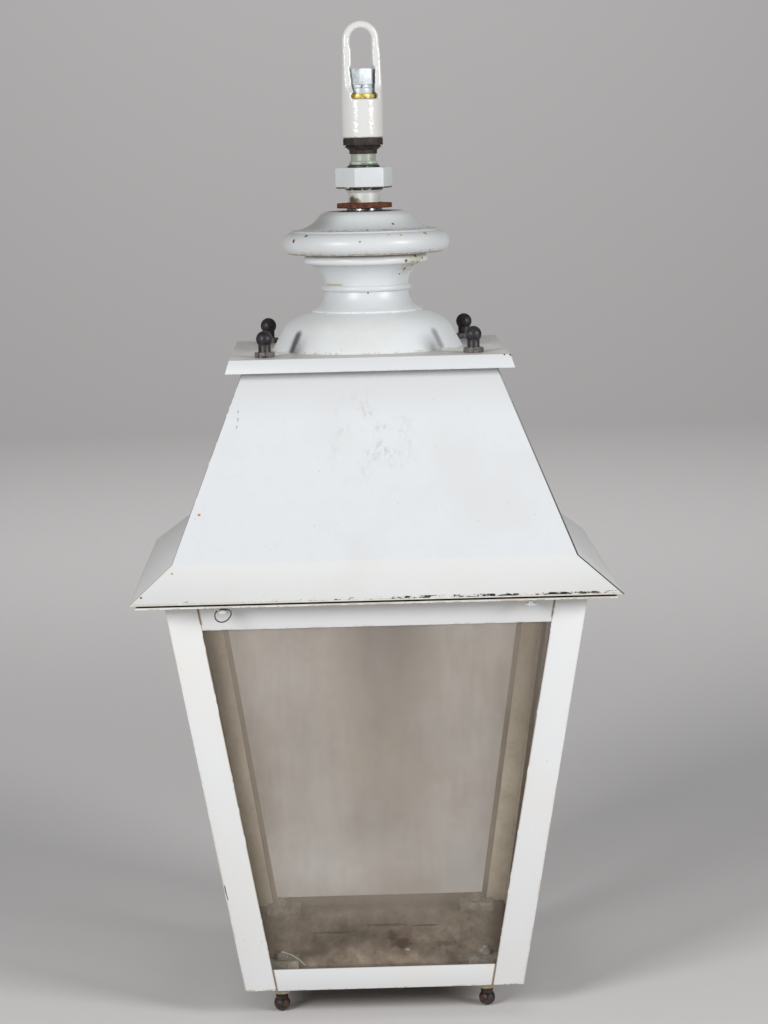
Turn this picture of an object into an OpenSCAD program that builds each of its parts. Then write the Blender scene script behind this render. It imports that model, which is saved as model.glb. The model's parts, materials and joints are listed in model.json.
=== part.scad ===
// Four-sided street lantern that hangs from a swivel eye, stood on its four ball feet.
// Millimetres. X is the width, Y runs from front to back, Z is up and Z = 0 is the floor.

/* [Cage] */
// Outer width of the four corner posts at their foot
post_foot_w = 294.8; // [270:1:320]
// Outer width of the four corner posts under the frame plate
post_head_w = 431.8; // [405:1:440]
// Height of the underside of the posts above the floor
post_foot_z = 32.4; // [28:0.2:40]
// Height of the cage from its underside to the frame plate
cage_h = 426.6; // [380:1:470]
// Width of each face of the angle-section posts
post_leg = 33; // [28:0.5:40]
// Sheet thickness of posts and rails
cage_t = 2; // [1.5:0.1:2.6]
// Height of the face of the top rails
top_rail_h = 27.7; // [22:0.1:36]
// Height of the face of the bottom rails
bottom_rail_h = 23.8; // [22:0.1:30]
// Width of the flange that the rails turn inwards
rail_flange = 30; // [24:1:36]
// Seam between the end of a rail and a post
seam = 0.4; // [0.2:0.1:0.8]

/* [Frame plate and floor] */
// How far the frame plate stands out past the posts
frame_proud = 27.85; // [20:0.05:32]
// How far the frame plate reaches in past the outside of the posts
frame_land = 19.9; // [17:0.1:24]
// Thickness of the frame plate
frame_t = 2; // [1.6:0.1:4]
// Height of the floor tray's top above the underside of the posts
floor_rise = 15.6; // [12:0.1:19]
// Sheet thickness of the floor tray
floor_t = 1.5; // [1:0.1:2]
// Thickness of the gasket between frame plate and roof
gasket_t = 2.8; // [2.4:0.1:4]
// Width of the gasket strip
gasket_w = 10; // [8:1:14]
// Width of the folded clamps over the feet
clamp_w = 38; // [34:1:44]
// Depth of the folded clamps
clamp_d = 26; // [24:1:32]
// Height of the folded clamps
clamp_h = 9; // [8:0.5:12]
// Sheet thickness of the folded clamps
clamp_t = 1.5; // [1:0.1:2]

/* [Glass] */
// Thickness of the four panes
glass_t = 3; // [2:0.5:4]
// How far a pane reaches behind each post
glass_lap = 12; // [8:1:14]
// Width of the strips that hold the panes from inside
strip_w = 22; // [20:0.5:24]
// Thickness of those strips
strip_t = 1.5; // [1:0.1:2]

/* [Roof] */
// How far the eaves of the roof stand out past the frame plate
eaves_proud = 6.25; // [4:0.05:12]
// How far the fold between the flare and the steep face lies inside the eaves
fold_in = 42.55; // [36:0.05:48]
// Height of that fold above the eaves
fold_rise = 34.9; // [30:0.1:45]
// Width of the roof at the top of the steep faces
roof_top_w = 255.2; // [235:0.1:275]
// Height of the roof sheets from the eaves to their top
roof_h = 235.7; // [200:0.1:260]
// Sheet thickness of the roof
roof_t = 1.5; // [1:0.1:2]
// How far the hem of the eaves reaches in past the outside of the posts
hem_land = 1.9; // [0.5:0.1:4]
// Width of the flange that the roof turns inwards at its top
top_flange = 32; // [30:1:38]
// Width of the hip seam that stands open on the front right corner
open_seam = 1.2; // [0.6:0.1:2]

/* [Cap plate] */
// How far the flat top of the cap plate stands out past the top of the roof
cap_proud = 17.85; // [14:0.05:22]
// How far the skirt of the cap plate spreads to each side
cap_spread = 4.3; // [2:0.1:8]
// Height of the skirt of the cap plate
cap_skirt = 13.9; // [10:0.1:18]
// Sheet thickness of the cap plate
cap_t = 1.5; // [1:0.1:2]
// Distance of the ball nuts inside the top edges of the roof
knob_inset = 18.7; // [14:0.1:22]

/* [Ball nuts] */
// Diameter of the ball
ball_d = 17.4; // [15:0.1:18]
// Distance from the seat of a ball nut to the centre of its ball
ball_reach = 18.9; // [17.5:0.1:20]
// Width across the flats of the hexagonal foot of a ball nut
nut_af = 18.4; // [16:0.1:20]
// Height of that foot
nut_h = 5.5; // [4:0.1:6]
// Diameter of the neck under the ball
neck_d = 13; // [11:0.1:14]
// Thread diameter of the studs
stud_d = 8; // [6:1:9]
// Distance of the feet inside the outside of the posts at their foot
foot_inset = 37.55; // [36:0.05:44]
// Diameter of the collar above each foot
collar_d = 20.5; // [18.5:0.1:24]
// Height of the collar
collar_h = 12.6; // [11:0.1:14]

/* [Finial] */
// Radius of the foot of the dome
dome_r = 102.4; // [95:0.1:108]
// Height of the dome
dome_h = 40.2; // [37:0.1:44]
// Height of the straight flank at the foot of the dome
flank_h = 18.8; // [14:0.1:24]
// How far that flank leans in
flank_in = 9.9; // [6:0.1:14]
// Radius of the rim on top of the dome
rim_r = 59.3; // [56:0.1:62]
// Height of the neck from the dome to the upper lip
neck_h = 60.6; // [56:0.1:67]
// Height of the bead around the neck above the dome
bead_rise = 24.9; // [22:0.1:28]
// Radius of the section of that bead
bead_r = 3.4; // [2.9:0.1:4]
// Radius of the hollow of the neck
waist_r = 44.8; // [42:0.1:48]
// Radius of the upper lip of the neck
lip_r = 66.7; // [63:0.1:70]
// Radius of the section of the upper lip
lip_half = 5; // [4.4:0.1:5.4]
// Shadow gap between the upper lip and the cap
lip_gap = 0.8; // [0.6:0.1:2]
// Radius of the section of the roll around the cap
roll_r = 11.8; // [10:0.1:14]
// Radius of the circle that the roll runs on
roll_path_r = 78.5; // [74:0.1:82]
// Radius of the sharp ridge on top of the roll
ridge_r = 79.4; // [77:0.1:82]
// Height of the crown above the roll
crown_h = 21.8; // [18:0.1:26]
// Radius of the flat top of the crown
crown_flat_r = 36; // [32:0.1:38]
// Wall of the spun finial
spun_t = 2.5; // [2:0.1:2.7]

/* [Pipe and suspension] */
// Outer diameter of the lower pipe
pipe_d = 33.7; // [32:0.1:35]
// Wall of the pipes
pipe_t = 3.2; // [2.6:0.1:4]
// Outer diameter of the upper pipe
upper_d = 26.9; // [25:0.1:28]
// Diameter of the rusty back nut
backnut_d = 59; // [52:0.5:64]
// Thickness of the back nut
backnut_h = 6; // [4:0.1:8]
// Length of the lower pipe that shows between the back nut and the large nut
lower_show = 15; // [12:0.1:20]
// Width across the flats of the large white nut
big_af = 54; // [50:0.1:58]
// Height of the large white nut
big_h = 22; // [18:0.1:26]
// Height of the cone under the large white nut
big_cone_h = 4.8; // [3:0.1:7]
// Length of the upper pipe that shows above the large nut
upper_show = 14.5; // [12:0.1:20]
// Diameter of the shoulder at the foot of the upper pipe
shoulder_d = 34.6; // [33:0.1:36]
// Diameter of the thread of the dark bush
bush_thread_d = 29.8; // [29:0.1:32]
// Diameter of the disc of the dark bush
bush_disc_d = 40.6; // [38:0.1:43]
// Width across the flats of the octagon of the dark bush
bush_af = 42.4; // [40:0.1:44]
// Height of that octagon
bush_h = 7.4; // [6:0.1:10]
// Diameter of the foot of the suspension eye
eye_d = 44.6; // [43:0.1:46]
// Height of the solid foot of the suspension eye
eye_foot_h = 41.6; // [36:0.1:48]
// Height of the suspension eye
eye_h = 124.9; // [116:0.1:140]
// Thickness of the arms of the suspension eye
arm_d = 9; // [8:0.1:10]
// Outer width of the arms of the suspension eye
arm_w = 41; // [40:0.1:42]
// How far the eye is turned on its bolt
eye_turn = 12; // [-30:1:30]
// Diameter of the swivel bolt
bolt_d = 16; // [14:1:16]
// Width across the flats of the head of the swivel bolt
bolt_af = 24; // [22:0.1:24]
// Height of the head of the swivel bolt
bolt_head = 17.2; // [14:0.1:19]
// Outer diameter of the brass washer
washer_d = 28.8; // [28:0.1:30]
// Thickness of the brass washer
brass_h = 4.8; // [3:0.1:6]
// Thickness of the zinc washer
zinc_h = 6; // [4:0.1:7]
// Thickness of the spring washer
spring_h = 3.4; // [2.6:0.1:4]

/* [Hinge] */
// Angle that the roof stands open, 0 is shut
roof_open = 0; // [0:5:90]
// Diameter of the hinge knuckles
knuckle_d = 6; // [5.4:0.1:6.2]
// Diameter of the hinge pins
hinge_pin_d = 3; // [2.5:0.1:3.2]
// Radial running clearance around a hinge pin
pin_fit = 0.05; // [0.02:0.01:0.1]
// Width of a hinge
hinge_w = 48; // [36:1:60]
// Distance of each hinge from the middle of the lantern
hinge_x = 140; // [110:1:160]
// Sheet thickness of the hinge leaves
leaf_t = 1.5; // [1.2:0.1:1.6]
// Distance of each lock screw from the middle of the lantern
lock_x = 156; // [130:1:170]

/* [Lamp] */
// Outer diameter of the porcelain lamp holder
holder_d = 44; // [38:1:50]
// Height of the porcelain lamp holder
holder_h = 52; // [44:1:60]
// Bore of the brass screw shell for the lamp
shell_bore = 27; // [26:0.5:28]
// Width of the strap that carries the lamp holder
strap_w = 40; // [34:1:44]
// Drop of the strap below the top of the roof
strap_drop = 60; // [50:1:80]
// Outer width of the strap over its two sides
strap_outer_w = 90; // [80:1:110]
// Thread diameter of the two screws of the lamp holder
holder_screw_d = 4; // [3:0.5:5]

/* [Hidden] */
$fn = 96;

// Small clearances shared by pieces that fit together
touch_gap = 0.2;
move_gap = 0.3;
mitre_gap = 0.1;
stack_gap = 0.1;
over = 1;

// Heights, from the floor up
post_head_z = post_foot_z + cage_h;
frame_top_z = post_head_z + frame_t;
eaves_z = frame_top_z + gasket_t;
fold_z = eaves_z + fold_rise;
roof_top_z = eaves_z + roof_h;
cap_top_z = roof_top_z + cap_t;
floor_z = post_foot_z + floor_rise;
glass_foot_z = post_foot_z + cage_t + touch_gap;
glass_head_z = post_head_z - cage_t - touch_gap;

// Widths that follow from the posts, from the cage outwards and up the roof
frame_w = post_head_w + 2 * frame_proud;
frame_open_w = post_head_w - 2 * frame_land;
eaves_w = frame_w + 2 * eaves_proud;
hem_w = (eaves_w - post_head_w) / 2 + hem_land;
fold_w = eaves_w - 2 * fold_in;
cap_w = roof_top_w + 2 * cap_proud;

// Half the outer width of the leaning cage at a height
lean = (post_head_w - post_foot_w) / 2 / cage_h;
function half_at(z) = post_foot_w / 2 + lean * (z - post_foot_z);

// Finial heights
dome_top_z = cap_top_z + dome_h;
bead_z = dome_top_z + bead_rise;
neck_top_z = dome_top_z + neck_h;
roll_foot_z = neck_top_z + lip_gap;
roll_z = roll_foot_z + roll_r;
roll_top_z = roll_z + roll_r;
crown_z = roll_top_z + crown_h;
ridge_h = 1.6;
crown_shoulder_r = 49.5;
crown_shoulder_h = 5;
seat_r = lip_r - 6.7;

// Curves of the finial: where the dome, the cove, the throat and the ogee turn
shoulder_in = 18.4;
shoulder_drop = 4.4;
rim_drop = 0.2;
rim_step = 1.6;
cove_in = 1.5;
cove_rise = 2.4;
cove_pull = 6.6;
cove_root = 1;
waist_edge = 0.4;
throat_in = 8.7;
throat_drop = 1.2;
throat_pull = 8;
ridge_w = 1;
ridge_edge = 0.2;
ogee_in = 21;
ogee_rise = 1.8;
crown_pull = 6;

// Pipe and suspension heights
ring_h = 3;
hub_d = 38;
backnut_z = crown_z + ring_h;
big_z = backnut_z + backnut_h + lower_show;
upper_z = big_z + big_h;
socket_h = 6;
bush_z = upper_z + upper_show;
bush_thread_h = 3.8;
bush_cone_h = 3.2;
bush_disc_h = 1.2;
bush_groove_h = 1;
bush_hex_z = bush_z + bush_thread_h + bush_cone_h + bush_disc_h + bush_groove_h;
eye_z = bush_hex_z + bush_h;
eye_gap = 0.1;
eye_floor_z = eye_z + eye_foot_h;
bolt_fit = 0.1;

// Stack of washers on the floor of the eye, and the bore that its head turns in
brass_z = eye_floor_z + move_gap;
zinc_z = brass_z + brass_h + stack_gap;
spring_z = zinc_z + zinc_h + stack_gap;
head_z = spring_z + spring_h + stack_gap;
head_room = 0.5;
washer_lap = 0.5;
bolt_turn = 20;
bolt_chamfer = 0.9;
head_bore_d = washer_d + 2 * head_room;

// Studs, screws and strap
knob_half = roof_top_w / 2 - knob_inset;
foot_half = post_foot_w / 2 - foot_inset;
collar_z = post_foot_z - collar_h;
foot_flat = 0.1;
foot_ball_z = ball_d / 2 - foot_flat;
nut_chamfer = 0.7;
ball_roof = 3;
stud_short = 1;
bolt_head_h = 5;
small_nut_af = 13;
frame_screw_half = (half_at(post_head_z) + frame_open_w / 2) / 2;
frame_screw_in = 95.9;
frame_screw_x = half_at(post_head_z) - frame_screw_in;
frame_screw_d = 5;
frame_nut_af = 8;
frame_nut_h = 4;
lock_in = 8.9;
lock_half = frame_w / 2 - lock_in;
lock_d = 6;
lock_shank = 6;
lock_head_h = 2.6;
lock_head_af = 10;
wire_d = 1.2;
gasket_half = half_at(post_head_z) + gasket_w;

// Hinge axis, behind the frame plate and under the rear eaves
hinge_y = frame_w / 2 + knuckle_d / 2 + touch_gap;
hinge_lift = 0.4;
hinge_z = frame_top_z - knuckle_d / 2 + hinge_lift;
knuckle_w = hinge_w / 3;
leaf_reach = 17;
leaf_bite = 0.8;
web_bite = 0.6;

locknut_h = 8;
locknut_af = 50;
locknut_chamfer = 2;
strap_t = 2;
strap_z = roof_top_z - strap_drop;
pipe_below = 4;
pipe_foot_z = roof_top_z - strap_t - locknut_h - pipe_below;
holder_gap = 0.2;
holder_roof_t = 12;
holder_screw_short = 1;
shell_t = 1;
shell_in = 4;
holder_screw_x = 14;

// Turns a line of [across, up] points into a folded sheet of the given thickness, on its left
function unit(v) = v / norm(v);
function left(v) = [-v[1], v[0]];
function miter(p, i, t) = let (
    n = len(p),
    a = left(unit(p[min(i + 1, n - 1)] - p[min(i, n - 2)])),
    b = left(unit(p[max(i, 1)] - p[max(i - 1, 0)])),
    m = a + b
) p[i] + m * (2 * t / (m * m));
function folded(p, t) = concat(p, [for (i = [len(p) - 1:-1:0]) miter(p, i, t)]);

function arc(c, r, a0, a1, n) =
    [for (i = [0:n]) let (a = a0 + (a1 - a0) * i / n) [c[0] + r * cos(a), c[1] + r * sin(a)]];
function bend(a, b, c, n) =
    [for (i = [0:n]) let (u = i / n) a * pow(1 - u, 2) + b * 2 * u * (1 - u) + c * u * u];

// Runs a section drawn as [outwards, up] along one side; side 0 front, 1 right, 2 rear, 3 left
module along_side(side, length) {
    rotate([0, 0, 90 * side]) rotate([90, 0, -90])
        linear_extrude(height = length, center = true) children();
}

// Keeps the quarter of a square ring that belongs to one side, with a gap at each mitre
module quarter(side, reach, gap_left, gap_right) {
    rotate([0, 0, 90 * side]) linear_extrude(height = 3 * reach, center = true)
        polygon([[0, -(gap_left + gap_right) / 2], [reach - gap_right, -reach],
            [-reach + gap_left, -reach]]);
}

// A block that leans with the cage: its two faces stay a and b inside the outer faces
module leaning_strip(a, b, z0, z1, length) {
    rotate([90, 0, 0]) linear_extrude(height = length, center = true)
        polygon([[half_at(z0) - a, z0], [half_at(z0) - b, z0],
            [half_at(z1) - b, z1], [half_at(z1) - a, z1]]);
}
module leaning_corner(a, b, z0, z1) {
    intersection() {
        leaning_strip(a, b, z0, z1, 2 * eaves_w);
        rotate([0, 0, 90]) leaning_strip(a, b, z0, z1, 2 * eaves_w);
    }
}
module leaning_angle(inset, leg, t, z0, z1) {
    difference() {
        leaning_corner(inset, inset + leg, z0, z1);
        leaning_corner(inset + t, inset + leg + over, z0 - over, z1 + over);
    }
}
module at_corner(sx, sy) {
    mirror([sx < 0 ? 1 : 0, 0, 0]) mirror([0, sy < 0 ? 1 : 0, 0]) children();
}
module each_corner() {
    for (sx = [-1, 1]) for (sy = [-1, 1]) at_corner(sx, sy) children();
}

module post(sx, sy) {
    color("#e8eaea") at_corner(sx, sy)
        leaning_angle(0, post_leg, cage_t, post_foot_z, post_head_z);
}

// Room that a rail leaves for the posts
module post_room() {
    each_corner() difference() {
        leaning_corner(-over, post_leg + seam, post_foot_z - over, post_head_z + over);
        leaning_corner(cage_t + touch_gap, post_leg + seam + over,
            post_foot_z - 2 * over, post_head_z + 2 * over);
    }
}
module top_rail(side) {
    z0 = post_head_z - top_rail_h;
    line = [[half_at(z0), z0], [half_at(post_head_z), post_head_z],
        [half_at(post_head_z) - rail_flange, post_head_z]];
    color("#e4e6e7") difference() {
        intersection() {
            along_side(side, eaves_w) polygon(folded(line, cage_t));
            quarter(side, eaves_w, seam, seam);
        }
        post_room();
        frame_screw_holes();
    }
}
module bottom_rail(side) {
    z1 = post_foot_z + bottom_rail_h;
    reach = half_at(post_foot_z) - foot_half + collar_d / 2;
    line = [[half_at(post_foot_z) - reach - rail_flange / 3, post_foot_z],
        [half_at(post_foot_z), post_foot_z], [half_at(z1), z1]];
    color("#e4e6e7") difference() {
        intersection() {
            along_side(side, eaves_w) polygon(folded(line, cage_t));
            quarter(side, eaves_w, seam, seam);
        }
        post_room();
        foot_holes();
    }
}

module ring_plate(outer, inner, t) {
    difference() {
        translate([-outer / 2, -outer / 2, 0]) cube([outer, outer, t]);
        translate([-inner / 2, -inner / 2, -over]) cube([inner, inner, t + 2 * over]);
    }
}
module frame_plate() {
    color("#e6e8e8") difference() {
        translate([0, 0, post_head_z]) ring_plate(frame_w, frame_open_w, frame_t);
        frame_screw_holes();
        lock_holes(frame_top_z - frame_t - over, frame_t + 2 * over, lock_d / 2 + touch_gap / 2);
    }
}
module gasket() {
    inner = gasket_half - gasket_w;
    color("#26272a") difference() {
        translate([0, 0, frame_top_z]) ring_plate(2 * gasket_half, 2 * inner, gasket_t);
        for (s = [-1, 1])
            translate([s * hinge_x - hinge_w / 2 - over, inner - over, frame_top_z - over])
                cube([hinge_w + 2 * over, gasket_w + 2 * over, gasket_t + 2 * over]);
    }
}
module floor_tray() {
    w = 2 * (half_at(glass_foot_z) - cage_t - glass_t - touch_gap - move_gap);
    color("#7e7469") difference() {
        translate([-w / 2, -w / 2, post_foot_z + cage_t]) cube([w, w, floor_rise - cage_t]);
        translate([-w / 2 + floor_t, -w / 2 + floor_t, post_foot_z + cage_t - over])
            cube([w - 2 * floor_t, w - 2 * floor_t, floor_rise - cage_t - floor_t + over]);
        foot_holes();
    }
}

module pane(side) {
    h0 = half_at(glass_foot_z);
    h1 = half_at(glass_head_z);
    out = cage_t + touch_gap / 2;
    edge = post_leg - glass_lap;
    color("#b9b2a8", 0.45) rotate([0, 0, 90 * side]) intersection() {
        rotate([90, 0, -90]) linear_extrude(height = eaves_w, center = true)
            polygon([[h0 - out, glass_foot_z], [h1 - out, glass_head_z],
                [h1 - out - glass_t, glass_head_z], [h0 - out - glass_t, glass_foot_z]]);
        rotate([90, 0, 0]) linear_extrude(height = eaves_w)
            polygon([[-h0 + edge, glass_foot_z], [h0 - edge, glass_foot_z],
                [h1 - edge, glass_head_z], [-h1 + edge, glass_head_z]]);
    }
}
// Flat strips that hold the panes from inside: four along X, four along Y, mitred in the corners
module glazing_strips(side) {
    inset = cage_t + glass_t + touch_gap;
    color("#a09882") intersection() {
        each_corner() leaning_angle(inset, strip_w, strip_t, floor_z, glass_head_z);
        union() {
            quarter(side, eaves_w, mitre_gap, mitre_gap);
            quarter(side + 2, eaves_w, mitre_gap, mitre_gap);
        }
    }
}

// Folded clamp over each foot stud, standing on the floor tray
module corner_brackets() {
    color("#8d8a84") each_corner() difference() {
        translate([foot_half - clamp_w / 2, foot_half - clamp_d / 2, floor_z])
            cube([clamp_w, clamp_d, clamp_h]);
        translate([foot_half - clamp_w / 2 - over, foot_half - clamp_d / 2 + clamp_t, floor_z - over])
            cube([clamp_w + 2 * over, clamp_d - 2 * clamp_t, clamp_h - clamp_t + over]);
        translate([foot_half, foot_half, floor_z])
            cylinder(d = stud_d + touch_gap, h = clamp_h + over);
    }
}

// Turned ball nut, seat at Z = 0 and ball upwards
module ball_nut(bore_h) {
    difference() {
        union() {
            hexagon(nut_af, nut_h, nut_chamfer);
            cylinder(d = neck_d, h = ball_reach);
            translate([0, 0, ball_reach]) sphere(d = ball_d, $fn = 48);
        }
        translate([0, 0, -over]) cylinder(d = stud_d, h = bore_h + over);
    }
}
module foot_balls() {
    bore = collar_z - foot_ball_z;
    color("#2f2a2a") each_corner() translate([foot_half, foot_half, 0]) difference() {
        translate([0, 0, foot_ball_z]) union() {
            sphere(d = ball_d, $fn = 48);
            cylinder(d = neck_d, h = bore);
        }
        translate([0, 0, foot_ball_z]) cylinder(d = stud_d, h = bore + over);
        translate([0, 0, -ball_d]) cylinder(d = ball_d, h = ball_d);
    }
}
module foot_collars() {
    taper_h = 3;
    taper_lap = 1.45;
    foot_d = neck_d + 2 * taper_lap;
    color("#d6cfbe") each_corner() translate([foot_half, foot_half, collar_z]) difference() {
        union() {
            cylinder(d1 = foot_d, d2 = collar_d, h = taper_h);
            translate([0, 0, taper_h]) cylinder(d = collar_d, h = collar_h - taper_h);
        }
        translate([0, 0, -over]) cylinder(d = stud_d + touch_gap, h = collar_h + 2 * over);
    }
}
module foot_holes() {
    each_corner() translate([foot_half, foot_half, post_foot_z - over])
        cylinder(d = stud_d + touch_gap, h = floor_rise + 2 * over);
}
module foot_studs() {
    nut_z = floor_z + clamp_h;
    nut_t = 6.5;
    stud_end = 2.5;
    color("#8b857c") each_corner() translate([foot_half, foot_half, 0]) {
        translate([0, 0, foot_ball_z]) cylinder(d = stud_d, h = nut_z + nut_t + stud_end - foot_ball_z);
        translate([0, 0, nut_z]) cylinder(d = small_nut_af / cos(30), h = nut_t, $fn = 6);
    }
}
module on_sides() {
    for (side = [0:3]) rotate([0, 0, 90 * side]) for (s = [-1, 1])
        translate([s * frame_screw_x, -frame_screw_half, 0]) children();
}
module frame_screw_holes() {
    on_sides() translate([0, 0, post_head_z - cage_t - over])
        cylinder(d = frame_screw_d + touch_gap, h = cage_t + frame_t + 2 * over, $fn = 24);
}
module frame_screws() {
    foot_z = post_head_z - cage_t - frame_nut_h;
    head_lap = 2;
    head_h = 2;
    color("#b9bcbd") on_sides() {
        translate([0, 0, foot_z]) cylinder(d = frame_screw_d, h = frame_top_z - foot_z, $fn = 24);
        translate([0, 0, frame_top_z])
            cylinder(d1 = frame_screw_d + 2 * head_lap, d2 = frame_screw_d + 1, h = head_h, $fn = 24);
        translate([0, 0, foot_z]) cylinder(d = frame_nut_af / cos(30), h = frame_nut_h, $fn = 6);
    }
}

// Lock screws, drawn back so that their points stay inside the frame plate
module lock_holes(z, h, r) {
    for (s = [-1, 1]) translate([s * lock_x, -lock_half, z]) cylinder(r = r, h = h);
}
module lock_screws() {
    foot_z = frame_top_z - lock_shank;
    color("#a9aaa6") for (s = [-1, 1]) translate([s * lock_x, -lock_half, foot_z]) {
        cylinder(d = lock_d, h = lock_shank);
        translate([0, 0, -lock_head_h]) cylinder(d = lock_head_af / cos(30), h = lock_head_h, $fn = 6);
    }
}
// Wire loop that hangs on the left lock screw, open between its two ends
module wire_loop() {
    loop_r = 6.2;
    loop_lift = 1.2;
    loop_from = 108;
    loop_angle = 324;
    loop_y = lock_half + lock_d / 2 + wire_d / 2 + touch_gap;
    hang_z = frame_top_z - lock_shank + wire_d / 2 + touch_gap;
    color("#2b2b2d") translate([-lock_x, -loop_y, hang_z]) rotate([90, 0, 0]) {
        translate([0, loop_lift - loop_r]) rotate([0, 0, loop_from]) rotate_extrude(angle = loop_angle)
            translate([loop_r, 0]) circle(d = wire_d, $fn = 16);
    }
}

// Hinges under the rear eaves: the middle knuckle and lower leaf belong to the cage
module at_hinges() {
    for (s = [-1, 1]) translate([s * hinge_x, hinge_y, hinge_z]) children();
}
module knuckle(x0, w) {
    translate([x0, 0, 0]) rotate([0, 90, 0]) difference() {
        cylinder(d = knuckle_d, h = w);
        translate([0, 0, -over]) cylinder(r = hinge_pin_d / 2 + pin_fit, h = w + 2 * over);
    }
}
module hinge_pin_bore() {
    rotate([0, 90, 0]) translate([0, 0, -hinge_w])
        cylinder(r = hinge_pin_d / 2 + pin_fit, h = 2 * hinge_w);
}
module hinge_lower_leaves() {
    leaf_z = post_head_z - hinge_z - leaf_t;
    tongue = knuckle_w - move_gap;
    back = knuckle_d / 2 + 3 * move_gap;
    color("#d9dbda") at_hinges() {
        knuckle(-tongue / 2, tongue);
        difference() {
            union() {
                translate([-tongue / 2, -leaf_reach, leaf_z])
                    cube([tongue, leaf_reach - knuckle_d / 2 + leaf_bite, leaf_t]);
                translate([-hinge_w / 2, -leaf_reach, leaf_z])
                    cube([hinge_w, leaf_reach - back, leaf_t]);
            }
            hinge_pin_bore();
        }
    }
}
module hinge_upper_leaves() {
    top = eaves_z - hinge_z;
    span = knuckle_w - move_gap / 2;
    web_z = knuckle_d / 2 - web_bite;
    color("#d9dbda") at_hinges() difference() {
        union() {
            for (x = [-hinge_w / 2, hinge_w / 2 - span]) {
                knuckle(x, span);
                translate([x, -leaf_t / 2, web_z]) cube([span, leaf_t, top - web_z]);
            }
            translate([-hinge_w / 2, -leaf_reach, top - leaf_t])
                cube([hinge_w, leaf_reach + leaf_t / 2, leaf_t]);
        }
        hinge_pin_bore();
    }
}
module hinge_pins() {
    head_h = 1.2;
    head_lap = 0.7;
    head_x = hinge_w / 2 + move_gap;
    color("#b9bcbd") at_hinges() rotate([0, 90, 0]) {
        translate([0, 0, -head_x]) cylinder(d = hinge_pin_d, h = 2 * head_x);
        for (x = [-head_x - head_h, head_x])
            translate([0, 0, x]) cylinder(d = hinge_pin_d + 2 * head_lap, h = head_h);
    }
}

// One side of the hipped roof: hem, flare, steep face and top flange from one folded sheet
module roof_panel(side, gap_left, gap_right) {
    line = [[eaves_w / 2 - hem_w, eaves_z], [eaves_w / 2, eaves_z], [fold_w / 2, fold_z],
        [roof_top_w / 2, roof_top_z], [roof_top_w / 2 - top_flange, roof_top_z]];
    color("#eceeef") difference() {
        intersection() {
            along_side(side, eaves_w) polygon(folded(line, roof_t));
            quarter(side, eaves_w, gap_left, gap_right);
        }
        lock_holes(eaves_z - over, roof_t + 2 * over, lock_d / 2 + touch_gap);
        cap_bolt_holes();
    }
}

// Folded cap plate: flat top with a skirt that spreads outwards
module spread_block(inset, top_z) {
    foot = cap_w / 2 + cap_spread;
    foot_z = cap_top_z - cap_skirt;
    drop = inset > 0 ? over : 0;
    outline = [[-foot + inset, foot_z - drop], [foot - inset, foot_z - drop],
        [cap_w / 2 - inset, top_z], [-cap_w / 2 + inset, top_z]];
    intersection() {
        rotate([90, 0, 0]) linear_extrude(height = 3 * foot, center = true) polygon(outline);
        rotate([90, 0, 90]) linear_extrude(height = 3 * foot, center = true) polygon(outline);
    }
}
module cap_plate() {
    color("#e9ebec") difference() {
        spread_block(0, cap_top_z);
        spread_block(cap_t, cap_top_z - cap_t);
        cap_bolt_holes();
        pipe_hole(cap_top_z - cap_t, cap_t);
    }
}
// Way for the pipe through a sheet
module pipe_hole(z, t) {
    translate([0, 0, z - over]) cylinder(d = pipe_d + 2 * touch_gap, h = t + 2 * over);
}
module cap_bolt_holes() {
    each_corner() translate([knob_half, knob_half, roof_top_z - roof_t - over])
        cylinder(d = stud_d + touch_gap, h = roof_t + cap_t + 2 * over);
}
module cap_balls() {
    color("#2b2a2e") each_corner() translate([knob_half, knob_half, cap_top_z])
        ball_nut(ball_reach - ball_roof);
}
module cap_bolts() {
    under = roof_top_z - roof_t;
    stud_h = roof_t + cap_t + ball_reach - ball_roof - stud_short;
    color("#8b857c") each_corner() translate([knob_half, knob_half, 0]) {
        translate([0, 0, under]) cylinder(d = stud_d, h = stud_h);
        translate([0, 0, under - bolt_head_h])
            cylinder(d = small_nut_af / cos(30), h = bolt_head_h, $fn = 6);
    }
}

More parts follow.
